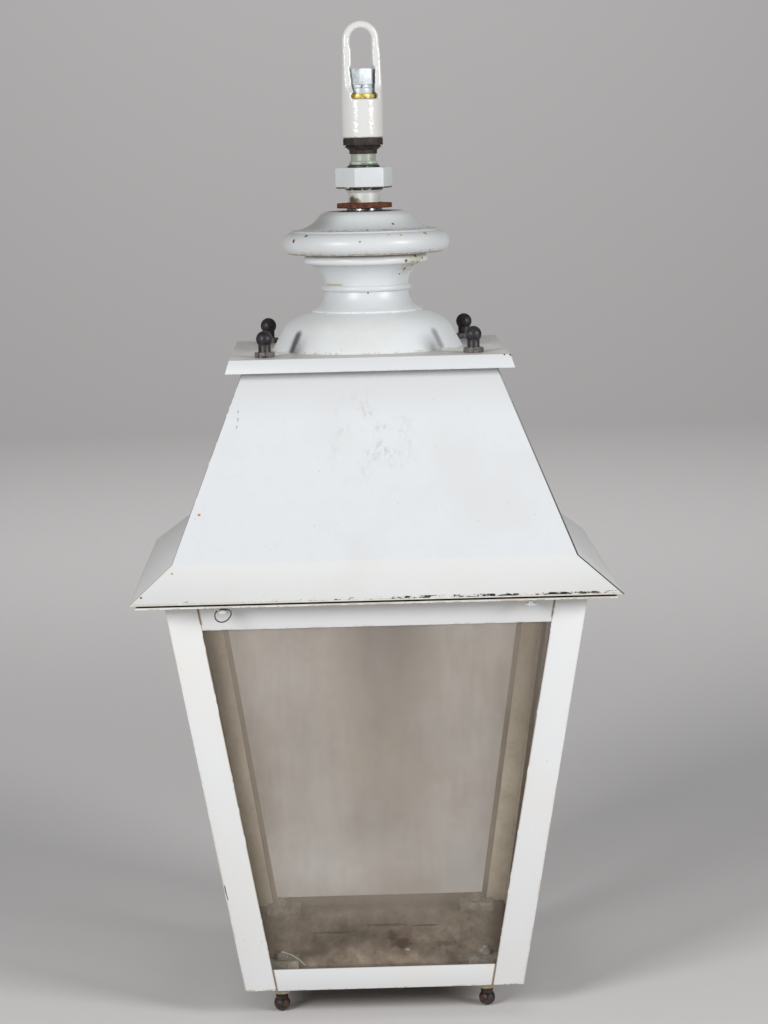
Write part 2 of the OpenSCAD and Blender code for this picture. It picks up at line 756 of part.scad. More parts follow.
// Spun neck of the finial: dome, cove, bead, throat and upper lip
module finial_neck() {
    edge_r = waist_r + waist_edge;
    flank = [dome_r - flank_in, cap_top_z + flank_h];
    shoulder = [dome_r - shoulder_in, dome_top_z - shoulder_drop];
    cove = [rim_r - cove_in, dome_top_z + cove_rise];
    root = [edge_r, bead_z - bead_r];
    neck = [edge_r, bead_z + bead_r];
    throat = [lip_r - throat_in, neck_top_z - 2 * lip_half - throat_drop];
    pull_z = throat[1] - throat_pull;
    outer = concat([[dome_r, cap_top_z]],
        bend(flank, shoulder, [rim_r, dome_top_z - rim_drop], 12), [[rim_r, dome_top_z + rim_step]],
        bend(cove, [waist_r + cove_root, dome_top_z + cove_pull], root, 10),
        arc([edge_r, bead_z], bead_r, -90, 90, 10),
        bend(neck, [edge_r, pull_z], throat, 10),
        arc([lip_r - lip_half, neck_top_z - lip_half], lip_half, -90, 90, 8));
    lid_z = neck_top_z - spun_t;
    inner = concat([[dome_r - spun_t, cap_top_z]],
        bend(flank - [spun_t, 0], shoulder - [spun_t, spun_t],
            [rim_r - 2 * spun_t, dome_top_z - 1.2 * spun_t], 12),
        bend([rim_r - 2.4 * spun_t, dome_top_z - spun_t], [waist_r - spun_t, dome_top_z + 1.6 * spun_t],
            root - [spun_t, 0], 10),
        bend(neck - [spun_t, 0], [waist_r - spun_t, pull_z],
            [lip_r - lip_half - spun_t, lid_z], 10));
    color("#dfe1e1") difference() {
        rotate_extrude() polygon(concat([[0, cap_top_z]], outer, [[0, neck_top_z]]));
        rotate_extrude() polygon(concat([[0, cap_top_z - over], [inner[0][0], cap_top_z - over]],
            inner, [[0, lid_z]]));
        pipe_hole(lid_z, spun_t);
    }
}

// Spun cap of the finial: roll, ridge and ogee crown, open below
function cap_line(w) = let (
    ridge_a = acos((ridge_r - ridge_h - roll_path_r + ridge_w) / (roll_r - w)),
    ridge_z = roll_top_z + ridge_h - w,
    shoulder = [crown_shoulder_r - w / 2, crown_z - crown_shoulder_h - w]
) concat(
    arc([roll_path_r, roll_z], roll_r - w, -90, ridge_a, 18),
    [[ridge_r - w, ridge_z - ridge_h + ridge_w], [ridge_r - ridge_edge - w, ridge_z]],
    bend([ridge_r - ridge_w - w, ridge_z], [ridge_r - ogee_in - w / 2, ridge_z + ogee_rise], shoulder, 10),
    bend(shoulder + [-1, 1], [shoulder[0] - crown_pull, crown_z - w],
        [crown_flat_r - w / 2, crown_z - w], 5));
module finial_cap() {
    color("#e2e4e4") difference() {
        rotate_extrude() polygon(concat([[0, neck_top_z], [seat_r, neck_top_z],
            [seat_r + 1, roll_foot_z]], cap_line(0), [[0, crown_z]]));
        rotate_extrude() polygon(concat([[0, neck_top_z - over], [seat_r - spun_t, neck_top_z - over],
            [seat_r - spun_t, roll_foot_z + spun_t]], cap_line(spun_t), [[0, crown_z - spun_t]]));
        pipe_hole(crown_z - spun_t, spun_t);
    }
}

// Threaded pipe, nuts and bush that carry the lantern
module tube(d, t, z0, z1) {
    translate([0, 0, z0]) difference() {
        cylinder(d = d, h = z1 - z0);
        translate([0, 0, -over]) cylinder(d = d - 2 * t, h = z1 - z0 + 2 * over);
    }
}
module hexagon(af, h, bevel) {
    r = af / 2 / cos(30);
    intersection() {
        cylinder(r = r, h = h, $fn = 6);
        rotate_extrude() polygon([[0, 0], [r - bevel, 0], [r + over, bevel + over],
            [r + over, h - bevel - over], [r - bevel, h], [0, h]]);
    }
}
module seal_ring() {
    color("#c9cdd0") tube(hub_d, (hub_d - pipe_d) / 2, crown_z, backnut_z);
}
module back_nut() {
    step_h = 0.8;
    corner_cut = 1.2;
    nut_turn = 8;
    flange_h = backnut_h - step_h;
    color("#5a3320") translate([0, 0, backnut_z]) difference() {
        union() {
            intersection() {
                cylinder(d = backnut_d, h = flange_h);
                rotate([0, 0, nut_turn]) cylinder(d = backnut_d + 2 * corner_cut, h = flange_h, $fn = 8);
            }
            cylinder(d = hub_d, h = backnut_h);
        }
        translate([0, 0, -over]) cylinder(d = pipe_d, h = backnut_h + 2 * over);
    }
}
module lower_pipe() {
    color("#d5d6d0") tube(pipe_d, pipe_t, pipe_foot_z, upper_z - socket_h);
}
module pipe_locknut() {
    color("#a9aaa6") translate([0, 0, roof_top_z - strap_t - locknut_h]) difference() {
        hexagon(locknut_af, locknut_h, locknut_chamfer);
        translate([0, 0, -over]) cylinder(d = pipe_d, h = locknut_h + 2 * over);
    }
}
module large_nut() {
    nut_turn = 11.5;
    corner_chamfer = 1.6;
    cone_top_in = 5;
    cone_lap = 0.4;
    color("#eceeee") translate([0, 0, big_z]) difference() {
        union() {
            rotate([0, 0, nut_turn]) hexagon(big_af, big_h, corner_chamfer);
            translate([0, 0, -big_cone_h])
                cylinder(d1 = pipe_d + 2 * cone_lap, d2 = big_af - 2 * cone_top_in, h = big_cone_h + over);
        }
        translate([0, 0, -big_cone_h - over])
            cylinder(d = pipe_d, h = big_h + big_cone_h + 2 * over);
    }
}

// Upper pipe with its shoulder, which sits in the large nut on the end of the lower pipe
module upper_pipe() {
    foot_z = upper_z - socket_h + stack_gap;
    bore_r = upper_d / 2 - pipe_t;
    ring_w = 1.6;
    ring_r = upper_d / 2 + ring_w;
    plug_r = pipe_d / 2 - move_gap;
    land_h = 1.6;
    ring_foot_h = 3.4;
    ring_top_h = 6;
    neck_foot_h = 7;
    color("#cfd3cf") rotate_extrude() polygon([[bore_r, foot_z], [plug_r, foot_z],
        [plug_r, upper_z + stack_gap], [shoulder_d / 2, upper_z + stack_gap],
        [shoulder_d / 2, upper_z + land_h], [ring_r, upper_z + ring_foot_h],
        [ring_r, upper_z + ring_top_h], [upper_d / 2, upper_z + neck_foot_h],
        [upper_d / 2, bush_z + bush_thread_h], [bore_r, bush_z + bush_thread_h]]);
}

// Dark bush: thread, cone, disc, groove and octagon, bored for the pipe below and the bolt above
module reducing_bush() {
    cone_z = bush_z + bush_thread_h;
    disc_z = cone_z + bush_cone_h;
    groove_in = 1.8;
    cone_in = 1.4;
    corner_in = 0.6;
    groove_r = bush_disc_d / 2 - groove_in;
    color("#3a3230") difference() {
        union() {
            rotate_extrude() polygon([[0, bush_z], [bush_thread_d / 2, bush_z],
                [bush_thread_d / 2, cone_z], [bush_disc_d / 2 - cone_in, disc_z],
                [bush_disc_d / 2, disc_z + bush_disc_h / 2],
                [groove_r, disc_z + bush_disc_h], [groove_r, bush_hex_z + over], [0, bush_hex_z + over]]);
            translate([0, 0, bush_hex_z]) intersection() {
                cylinder(d = bush_af / cos(22.5) - 2 * corner_in, h = bush_h);
                rotate([0, 0, 22.5]) cylinder(d = bush_af / cos(22.5), h = bush_h, $fn = 8);
            }
        }
        translate([0, 0, bush_z - over]) cylinder(d = upper_d, h = bush_thread_h + over);
        translate([0, 0, bush_z]) cylinder(d = bolt_d, h = eye_z - bush_z + over);
    }
}

// Swivel bolt through the foot of the eye, with the washers under its head
module ring_washer(z, d, h) {
    tube(d, (d - bolt_d) / 2 - touch_gap, z, z + h);
}
module brass_washer() {
    color("#b8962f") ring_washer(brass_z, washer_d, brass_h);
}
module zinc_washer() {
    color("#c5cdd2") ring_washer(zinc_z, bolt_af + 2 * washer_lap, zinc_h);
}
module spring_washer() {
    split = 1.2;
    slant = 25;
    color("#a8b0b6") difference() {
        ring_washer(spring_z, bolt_af - 2 * move_gap, spring_h);
        translate([0, -bolt_af / 2, spring_z + spring_h / 2]) rotate([0, slant, 0])
            cube([split, bolt_af - bolt_d + split, 3 * spring_h], center = true);
    }
}
module swivel_bolt() {
    foot_z = bush_z + bush_thread_h + stack_gap;
    color("#c5cdd2") {
        translate([0, 0, foot_z]) cylinder(d = bolt_d, h = head_z - foot_z + over);
        translate([0, 0, head_z]) rotate([0, 0, bolt_turn]) hexagon(bolt_af, bolt_head, bolt_chamfer);
    }
}

// Suspension eye: a bored foot whose two side walls run into round arms and a round arch
module suspension_eye() {
    arch_r = (arm_w - arm_d) / 2;
    arch_z = eye_z + eye_h - arm_d / 2 - arch_r;
    wall_drop = 8;
    wall_h = arch_z - eye_floor_z - wall_drop;
    wall_top_z = eye_floor_z + wall_h;
    slot_w = arm_w - 2 * arm_d;
    brim = arm_d / 2 - move_gap;
    web = arm_d / 2 + 5;
    web_rise = 12;
    head_way = 2;
    color("#e9eaea") rotate([0, 0, eye_turn]) difference() {
        union() {
            translate([0, 0, eye_z + eye_gap]) cylinder(d = eye_d, h = eye_foot_h - eye_gap);
            intersection() {
                translate([0, 0, eye_floor_z]) cylinder(d1 = eye_d, d2 = arm_w, h = wall_h);
                rotate([90, 0, 90]) linear_extrude(height = eye_d + over, center = true)
                    polygon([[-eye_d / 2, eye_floor_z], [eye_d / 2, eye_floor_z],
                        [web, eye_floor_z + web_rise], [brim, wall_top_z],
                        [-brim, wall_top_z], [-web, eye_floor_z + web_rise]]);
            }
            for (s = [-1, 1]) translate([s * arch_r, 0, wall_top_z - arm_d])
                cylinder(d = arm_d, h = arch_z - wall_top_z + arm_d);
            translate([0, 0, arch_z]) rotate([90, 0, 0])
                rotate_extrude(angle = 180) translate([arch_r, 0]) circle(d = arm_d);
        }
        translate([0, 0, eye_z - over]) cylinder(r = bolt_d / 2 + bolt_fit, h = eye_foot_h + 2 * over);
        translate([0, 0, eye_floor_z])
            cylinder(d = head_bore_d, h = head_z + bolt_head + head_way - eye_floor_z);
        translate([-head_bore_d / 2, -eye_d, eye_floor_z])
            cube([head_bore_d, 2 * eye_d, brass_h + 2 * move_gap]);
        translate([-slot_w / 2, -eye_d, eye_floor_z]) cube([slot_w, 2 * eye_d, arch_z - eye_floor_z]);
    }
}

// Strap under the cap plate with the porcelain lamp holder
module lamp_strap() {
    half = strap_outer_w / 2;
    strap_seam = 4;
    color("#b9bcbd") difference() {
        rotate([90, 0, 0]) linear_extrude(height = strap_w, center = true) polygon(folded(
            [[-half, strap_z], [half, strap_z], [half, roof_top_z], [-half, roof_top_z],
                [-half, strap_z + strap_t + strap_seam]], strap_t));
        pipe_hole(roof_top_z - strap_t, strap_t);
        holder_screw_holes(strap_z, strap_t);
    }
}
module holder_screw_holes(z, t) {
    for (s = [-1, 1]) translate([s * holder_screw_x, 0, z - over])
        cylinder(d = holder_screw_d + touch_gap, h = t + 2 * over);
}
module lamp_holder() {
    foot_z = strap_z - holder_h;
    taper_h = holder_h * 0.6;
    taper_in = 2;
    color("#efece2") difference() {
        translate([0, 0, foot_z]) union() {
            cylinder(d1 = holder_d - 2 * taper_in, d2 = holder_d, h = taper_h);
            translate([0, 0, taper_h]) cylinder(d = holder_d, h = holder_h - taper_h);
        }
        translate([0, 0, foot_z - over])
            cylinder(d = shell_bore + 2 * shell_t + 2 * holder_gap, h = holder_h - holder_roof_t + over);
        holder_screw_holes(strap_z - holder_roof_t, holder_roof_t);
    }
}
module holder_screw_shell() {
    shell_z = strap_z - holder_h + shell_in;
    top_z = strap_z - holder_roof_t;
    color("#c9a24a") difference() {
        translate([0, 0, shell_z]) cylinder(d = shell_bore + 2 * shell_t, h = top_z - shell_z);
        translate([0, 0, shell_z - over]) cylinder(d = shell_bore, h = top_z - shell_t - shell_z + over);
    }
}
module holder_screws() {
    head_h = 2.4;
    head_lap = 1.7;
    color("#c5cdd2") for (s = [-1, 1]) translate([s * holder_screw_x, 0, strap_z]) {
        translate([0, 0, holder_screw_short - holder_roof_t])
            cylinder(d = holder_screw_d, h = holder_roof_t - holder_screw_short + strap_t);
        translate([0, 0, strap_t]) cylinder(d = holder_screw_d + 2 * head_lap, h = head_h);
    }
}

// Everything of the roof swings on the hinge axis, drawn open only for a look inside
module swing() {
    translate([0, hinge_y, hinge_z]) rotate([-roof_open, 0, 0])
        translate([0, -hinge_y, -hinge_z]) children();
}

post(-1, -1);  // post_front_left
post(1, -1);  // post_front_right
post(-1, 1);  // post_rear_left
post(1, 1);  // post_rear_right
top_rail(0);  // top_rail_front
top_rail(2);  // top_rail_rear
top_rail(3);  // top_rail_left
top_rail(1);  // top_rail_right
bottom_rail(0);  // bottom_rail_front
bottom_rail(2);  // bottom_rail_rear
bottom_rail(3);  // bottom_rail_left
bottom_rail(1);  // bottom_rail_right
frame_plate();
floor_tray();
pane(0);  // glass_front
pane(2);  // glass_rear
pane(3);  // glass_left
pane(1);  // glass_right
glazing_strips(0);  // glazing_strips_x
glazing_strips(1);  // glazing_strips_y
corner_brackets();
foot_balls();
foot_collars();
foot_studs();
frame_screws();
gasket();
lock_screws();
wire_loop();
hinge_lower_leaves();
hinge_pins();
swing() roof_panel(0, mitre_gap, mitre_gap);  // roof_front
swing() roof_panel(2, mitre_gap, mitre_gap);  // roof_rear
swing() roof_panel(3, mitre_gap, mitre_gap);  // roof_left
swing() roof_panel(1, open_seam, mitre_gap);  // roof_right
swing() hinge_upper_leaves();
swing() cap_plate();
swing() cap_balls();
swing() cap_bolts();
swing() finial_neck();
swing() finial_cap();
swing() seal_ring();
swing() back_nut();
swing() lower_pipe();
swing() pipe_locknut();
swing() large_nut();
swing() upper_pipe();
swing() reducing_bush();
swing() lamp_strap();
swing() lamp_holder();
swing() holder_screw_shell();
swing() holder_screws();
swing() swivel_bolt();
swing() spring_washer();
swing() zinc_washer();
swing() brass_washer();
swing() suspension_eye();
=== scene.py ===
# %% [markdown]
# # A hanging street lantern
# The lantern is a cage of folded, painted steel with four panes of glass, under a hipped roof that carries
# a spun finial and a swivel eye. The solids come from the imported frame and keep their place. Here each one
# gets softly broken edges and its real finish, and the light and the camera of the picture are set up.

# %% Load the frame
import json
import math
import bmesh
import bpy
from mathutils import Matrix, Vector


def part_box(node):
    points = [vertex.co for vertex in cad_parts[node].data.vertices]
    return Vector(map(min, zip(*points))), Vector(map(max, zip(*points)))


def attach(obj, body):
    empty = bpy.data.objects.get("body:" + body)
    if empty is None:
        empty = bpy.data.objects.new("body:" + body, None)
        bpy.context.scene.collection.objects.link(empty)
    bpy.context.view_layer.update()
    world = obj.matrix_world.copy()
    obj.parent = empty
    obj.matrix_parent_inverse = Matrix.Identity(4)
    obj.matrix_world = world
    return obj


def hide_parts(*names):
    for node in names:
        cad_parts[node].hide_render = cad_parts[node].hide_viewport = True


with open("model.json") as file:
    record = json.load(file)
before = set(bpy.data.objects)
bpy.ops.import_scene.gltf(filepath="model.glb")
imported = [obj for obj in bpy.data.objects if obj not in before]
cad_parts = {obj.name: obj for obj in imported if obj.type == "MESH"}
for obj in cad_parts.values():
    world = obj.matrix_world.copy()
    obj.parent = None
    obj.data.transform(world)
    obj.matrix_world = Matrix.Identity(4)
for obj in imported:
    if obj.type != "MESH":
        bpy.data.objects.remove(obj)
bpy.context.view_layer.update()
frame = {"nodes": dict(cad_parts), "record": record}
MM = 0.001

# %% [markdown]
# ## Camera
# The photograph was taken from about the height of the swivel bolt, a little over three metres away, with a
# long lens. The lantern stands almost square to it. The camera is turned by its own roll, because the
# lantern leans very slightly in the picture.

# %% Camera
FOCAL_PX = 2978.0
FRAME_H_PX = 1024.0
CAMERA_AT = Vector((0.0132, -3.2107, 0.9316))
PITCH = math.radians(7.28)
ROLL = math.radians(1.35)
YAW = math.radians(0.88)

camera_data = bpy.data.cameras.new("camera")
camera_data.sensor_fit = "VERTICAL"
camera_data.sensor_height = 36.0
camera_data.lens = FOCAL_PX * camera_data.sensor_height / FRAME_H_PX
camera = bpy.data.objects.new("camera", camera_data)
bpy.context.scene.collection.objects.link(camera)
turn = Matrix.Rotation(-YAW, 4, "Z")
aim = Matrix.Rotation(math.pi / 2 - PITCH, 4, "X") @ Matrix.Rotation(-ROLL, 4, "Z")
camera.matrix_world = turn @ Matrix.Translation(CAMERA_AT) @ aim
bpy.context.scene.camera = camera
print("camera lens", round(camera_data.lens, 1), "mm")

# %% [markdown]
# ## Floor and light
# A plain pale sweep stands in for the studio: a floor that curves up into a wall behind the lantern, so no
# horizon shows. In the photograph both sides of the turned finial are equally shaded and its middle is
# bright, and each ball nut darkens the dome on its own side. That is what two equal soft panels do, one on
# the left front and one on the right front. They stand low, because the lantern is brightest at its eaves.
# The room adds an even grey light, and a third panel lifts the wall. Standard colours are used, so a
# painted white stays white.

# %% One way to add a node
bpy.context.scene.view_settings.view_transform = "Standard"
MODE = {"Math": "operation", "VectorMath": "operation", "Mix": "data_type", "MapRange": "interpolation_type"}


def add(tree, kind, *values, out=0, **settings):
    """Adds a node such as TexNoise or Math.MULTIPLY. The values fill its live sockets in order, and None
    skips one. The settings are its other properties, and out picks one of its live outputs."""
    kind, _, mode = kind.partition(".")
    node = tree.nodes.new("ShaderNode" + kind)
    if mode:
        setattr(node, MODE[kind], mode)
    for key, value in settings.items():
        setattr(node, key, value)
    for socket, value in zip([socket for socket in node.inputs if socket.enabled], values):
        if isinstance(value, bpy.types.NodeSocket):
            tree.links.new(value, socket)
        elif value is not None:
            socket.default_value = value
    live = [socket for socket in node.outputs if socket.enabled]
    return live[out] if live else node


def linear(code):
    """An sRGB hex colour as the linear colour that a shader wants."""
    channels = [int(code[i:i + 2], 16) / 255 for i in (1, 3, 5)]
    return tuple(c / 12.92 if c <= 0.04045 else ((c + 0.055) / 1.055) ** 2.4 for c in channels) + (1.0,)


def new_material(name):
    """A material with one shader, and two nodes that every finish reads: the place in millimetres, and its axes."""
    material = bpy.data.materials.new(name)
    material.use_nodes = True
    tree = material.node_tree
    tree.nodes.clear()
    shader = add(tree, "BsdfPrincipled").node
    add(tree, "OutputMaterial", shader.outputs[0])
    metres = add(tree, "TexCoord", out=3)
    add(tree, "VectorMath.SCALE", metres, 1000.0, name="place")
    add(tree, "SeparateXYZ", tree.nodes["place"].outputs[0], name="axes")
    return material, tree, shader


def deselect():
    """Leaves object mode with nothing selected, since an operator acts on all that is selected."""
    if bpy.context.object and bpy.context.object.mode != "OBJECT":
        bpy.ops.object.mode_set(mode="OBJECT")
    bpy.ops.object.select_all(action="DESELECT")


print("a middle grey of #808080 is", round(linear("#808080")[0], 3), "in linear light")

# %% The sweep
SWEEP_GREY = "#CFCDCC"
SWEEP_WIDE = 14.0
FLOOR_FRONT_Y = -4.5
WALL_Y = 6.1  # further off than a camera that looks at the back
WALL_HIGH = 7.0
SWEEP_CURVE = 2.2


def select_edges(piece, wanted):
    """In edit mode, selects just the edges with both ends where they are wanted."""
    bpy.ops.mesh.select_all(action="DESELECT")
    mesh = bmesh.from_edit_mesh(piece.data)
    for edge in mesh.edges:
        edge.select = all(wanted(corner.co) for corner in edge.verts)
    bmesh.update_edit_mesh(piece.data)


deselect()
bpy.ops.mesh.primitive_plane_add(size=1, location=(0, (FLOOR_FRONT_Y + WALL_Y) / 2, 0))
sweep = bpy.context.object
sweep.name = "sweep"
sweep.scale = (SWEEP_WIDE, WALL_Y - FLOOR_FRONT_Y, 1)
bpy.ops.object.transform_apply(location=True, rotation=False, scale=True)
bpy.ops.object.mode_set(mode="EDIT")
select_edges(sweep, lambda at: at.y > 0)
bpy.ops.mesh.extrude_region_move(TRANSFORM_OT_translate={"value": (0, 0, WALL_HIGH)})
select_edges(sweep, lambda at: at.y > 0 and at.z < WALL_HIGH / 2)
bpy.ops.mesh.bevel(offset=SWEEP_CURVE, segments=24)
bpy.ops.object.mode_set(mode="OBJECT")
bpy.ops.object.shade_smooth()
sweep_paper, tree, shader = new_material("sweep_paper")
shader.inputs["Base Color"].default_value = linear(SWEEP_GREY)
shader.inputs["Roughness"].default_value = 0.9
shader.inputs["Specular IOR Level"].default_value = 0.1
sweep.data.materials.append(sweep_paper)
print("the sweep has", len(sweep.data.polygons), "faces")

# %% Lights
ROOM_GREY = "#E8E9EC"
ROOM_LIGHT = 0.27
LANTERN_MIDDLE = (0, 0, 0.5)
world = bpy.data.worlds.new("room")
bpy.context.scene.world = world
world.use_nodes = True
room = world.node_tree.nodes["Background"].inputs
room["Color"].default_value = linear(ROOM_GREY)
room["Strength"].default_value = ROOM_LIGHT


def soft_panel(name, at, target, size, power):
    """A square area light that looks at a point. The size is in metres and the power in watts."""
    data = bpy.data.lights.new(name, "AREA")
    data.shape = "SQUARE"
    data.size = size
    data.energy = power
    lamp = bpy.data.objects.new(name, data)
    bpy.context.scene.collection.objects.link(lamp)
    lamp.location = at
    lamp.rotation_euler = (Vector(target) - Vector(at)).to_track_quat("-Z", "Y").to_euler()


soft_panel("left_panel", (-2.0, -2.65, 1.55), LANTERN_MIDDLE, 1.1, 68)
soft_panel("right_panel", (2.6, -2.2, 1.55), LANTERN_MIDDLE, 1.1, 68)
soft_panel("wall_panel", (0, 2.6, 3.2), (0, 6.2, 1.2), 2.2, 64)
print("lights:", sorted(data.name for data in bpy.data.lights))

# %% [markdown]
# ## Finishes
# Every finish reads Object coordinates. They are in metres, so they are multiplied by a thousand once, and
# then all sizes below are millimetres. A noise of scale 1 / 12 has grains about 12 mm across. Marks that the
# real lantern has in one place, such as a chip on an edge, are put there by that place.

# %% Marks at one place


def place(tree):
    return tree.nodes["place"].outputs[0]


def axis(tree, letter):
    return tree.nodes["axes"].outputs[letter]


def spot(tree, at, radius, soft=0.35, rag=None, strength=1.0):
    """A round mark, white inside, ragged where a noise is given."""
    far = add(tree, "VectorMath.DISTANCE", place(tree), at)
    if rag is not None:
        far = add(tree, "Math.ADD", far, add(tree, "Math.MULTIPLY_ADD", rag, radius, -0.5 * radius))
    return add(tree, "MapRange.SMOOTHSTEP", far, radius, radius * (1 - soft), 0.0, strength)


def scratch(tree, start, end, width, soft=0.5, strength=1.0):
    """A mark along a piece of line: how near a point is to the nearest place between start and end."""
    along = Vector(end) - Vector(start)
    away = add(tree, "VectorMath.SUBTRACT", place(tree), start)
    share = add(tree, "Clamp", add(tree, "VectorMath.DOT_PRODUCT", away, along / along.length_squared))
    foot = add(tree, "VectorMath.SCALE", along, share)
    far = add(tree, "VectorMath.DISTANCE", away, foot)
    return add(tree, "MapRange.SMOOTHSTEP", far, 0.5 * width, 0.5 * width * (1 - soft), 0.0, strength)


def band(tree, low, high, soft=0.4):
    """White between two heights."""
    above = add(tree, "MapRange.SMOOTHSTEP", axis(tree, "Z"), low - soft, low)
    below = add(tree, "MapRange.SMOOTHSTEP", axis(tree, "Z"), high + soft, high)
    return add(tree, "Math.MULTIPLY", above, below)


def torn(tree, mask, grain, amount, strength=1.0):
    """Breaks a mask up into shreds of a grain size. The amount is the share that stays, 0 to 1."""
    shreds = add(tree, "TexNoise", place(tree), 1 / grain, 5, 0.75)
    edge = 0.66 - 0.32 * amount
    kept = add(tree, "MapRange.SMOOTHSTEP", shreds, edge, edge + 0.05, 0.0, strength)
    return add(tree, "Math.MULTIPLY", mask, kept)


# %% [markdown]
# ### Where dirt gathers
# The lantern is square, so one sum serves all four sides. The larger of |x| and |y|, less half the width of
# the cage at that height, is how far a point stands out of the outer face. The smaller one says how far it
# is from the corner. Dirt then follows the corner edges, the seams beside the posts and the inner faces.

# %% Distances on the cage
CAGE_FOOT_HALF = 147.4
CAGE_FOOT_Z = 32.4
CAGE_LEAN = 0.1606


def side_axes(tree):
    """|x| and |y|, in millimetres."""
    return [add(tree, "Math.ABSOLUTE", axis(tree, letter)) for letter in "XY"]


def half_width(tree):
    """Half the width of the cage at a point's height."""
    return add(tree, "Math.MULTIPLY_ADD", axis(tree, "Z"), CAGE_LEAN, CAGE_FOOT_HALF - CAGE_LEAN * CAGE_FOOT_Z)


def outwards(tree):
    """How far a point stands out of the cage's outer face. It is below zero inside."""
    return add(tree, "Math.SUBTRACT", add(tree, "Math.MAXIMUM", *side_axes(tree)), half_width(tree))


def from_corner(tree):
    """The same for the smaller axis: zero at the corner, and below zero towards the middle of a side."""
    return add(tree, "Math.SUBTRACT", add(tree, "Math.MINIMUM", *side_axes(tree)), half_width(tree))


print("each side of the cage leans out by", round(math.degrees(math.atan(CAGE_LEAN)), 1), "degrees")

# %% [markdown]
# ### White lacquer
# Sheet steel sprayed white and aged: a faint orange peel, cool white with faint soft stains, tiny dark
# specks, and bare dark metal with a beige rim where the paint is chipped. The same recipe serves every
# white piece. Its bands are heights at which dirt lies in shreds, its covers are masks with the colour that
# they lay on, its lines are scratches and its marks are spots. Lacquer is no metal, and the gloss is its
# roughness.

# %% White lacquer
CHIP_DARK = "#2A2523"
CHIP_RIM = "#C4B08A"
SPECK_GREY = "#6B655C"


def white_lacquer(name, body, stain, gloss=0.38, peel=0.1, peel_size=3.5, marks=(), lines=(), bands=(), covers=()):
    """Gives the eye a cool white with a soft sheen. The peel is the height of its waves, in millimetres."""
    material, tree, shader = new_material(name)
    cloud = add(tree, "TexNoise", place(tree), 1 / 110, 4)
    haze = add(tree, "TexNoise", place(tree), 1 / 12, 5, 0.7)
    dust = add(tree, "TexNoise", place(tree), 1 / 2, 1)
    group = add(tree, "TexNoise", place(tree), 1 / 34, 1)
    rag = add(tree, "TexNoise", place(tree), 1 / 1.6, 3)
    clouded = add(tree, "MapRange.SMOOTHSTEP", cloud, 0.50, 0.72, 0.0, 0.7)
    colour = add(tree, "Mix.RGBA", clouded, linear(body), linear(stain))
    hazed = add(tree, "MapRange.SMOOTHSTEP", haze, 0.52, 0.80, 0.0, 0.6)
    colour = add(tree, "Mix.RGBA", hazed, colour, linear(stain))
    specks = add(tree, "MapRange.SMOOTHSTEP", dust, 0.765, 0.80, 0.0, 0.75)
    specks = add(tree, "Math.MULTIPLY", specks, add(tree, "MapRange.SMOOTHSTEP", group, 0.52, 0.62))
    colour = add(tree, "Mix.RGBA", specks, colour, linear(SPECK_GREY))
    bare = specks
    for low, high, tone, grain, amount, strength in bands:
        shreds = torn(tree, band(tree, low, high), grain, amount, strength)
        colour = add(tree, "Mix.RGBA", shreds, colour, linear(tone))
    for cover, tone in covers:
        colour = add(tree, "Mix.RGBA", cover(tree), colour, linear(tone))
    for tone, start, end, width in lines:
        colour = add(tree, "Mix.RGBA", scratch(tree, start, end, width), colour, linear(tone))
    for tone, at, radius in marks:
        if tone == CHIP_DARK:
            rim = spot(tree, at, radius * 1.5, 0.4, rag, 0.6)
            colour = add(tree, "Mix.RGBA", rim, colour, linear(CHIP_RIM))
            bare = add(tree, "Math.MAXIMUM", bare, spot(tree, at, radius, 0.3, rag))
        colour = add(tree, "Mix.RGBA", spot(tree, at, radius, 0.4, rag), colour, linear(tone))
    tree.links.new(colour, shader.inputs["Base Color"])
    rough = add(tree, "MapRange", haze, 0.0, 1.0, gloss - 0.05, gloss + 0.12)
    tree.links.new(rough, shader.inputs["Roughness"])
    waves = add(tree, "TexNoise", place(tree), 1 / peel_size, 2)
    relief = add(tree, "Math.SUBTRACT", add(tree, "Math.MULTIPLY", waves, 0.5), bare)
    tree.links.new(add(tree, "Bump", 0.7, peel * MM, None, relief), shader.inputs["Normal"])
    return material


# %% [markdown]
# ### The roof's own wear
# Along the front eave the paint is broken off in dashes just above the edge, and the edge itself is beige.
# The seam at the front right hip stands open and is dark. The steep face is nearly clean: a patch of faint
# scuffs in its middle, a rust dot and three short scratches near the left hip. The flare is a shade yellower.

# %% Masks on the roof


def hip_line(tree):
    """A thin line of dirt where two roof sheets meet."""
    wide, deep = side_axes(tree)
    apart = add(tree, "Math.ABSOLUTE", add(tree, "Math.SUBTRACT", wide, deep))
    return torn(tree, add(tree, "MapRange.SMOOTHSTEP", apart, 0.8, 0.3), 30, 0.85, 0.85)


def open_hip(tree):
    """Dark edges of the open seam, at the front right corner only, and darker towards the eave."""
    apart = add(tree, "Math.ABSOLUTE", add(tree, "Math.ADD", axis(tree, "X"), axis(tree, "Y")))
    near = add(tree, "MapRange.SMOOTHSTEP", apart, 1.9, 1.1)
    front = add(tree, "Math.MULTIPLY", near, add(tree, "MapRange.SMOOTHSTEP", axis(tree, "X"), 100, 110))
    return add(tree, "Math.MULTIPLY", front, add(tree, "MapRange", axis(tree, "Z"), 700, 500, 0.4, 1.0))


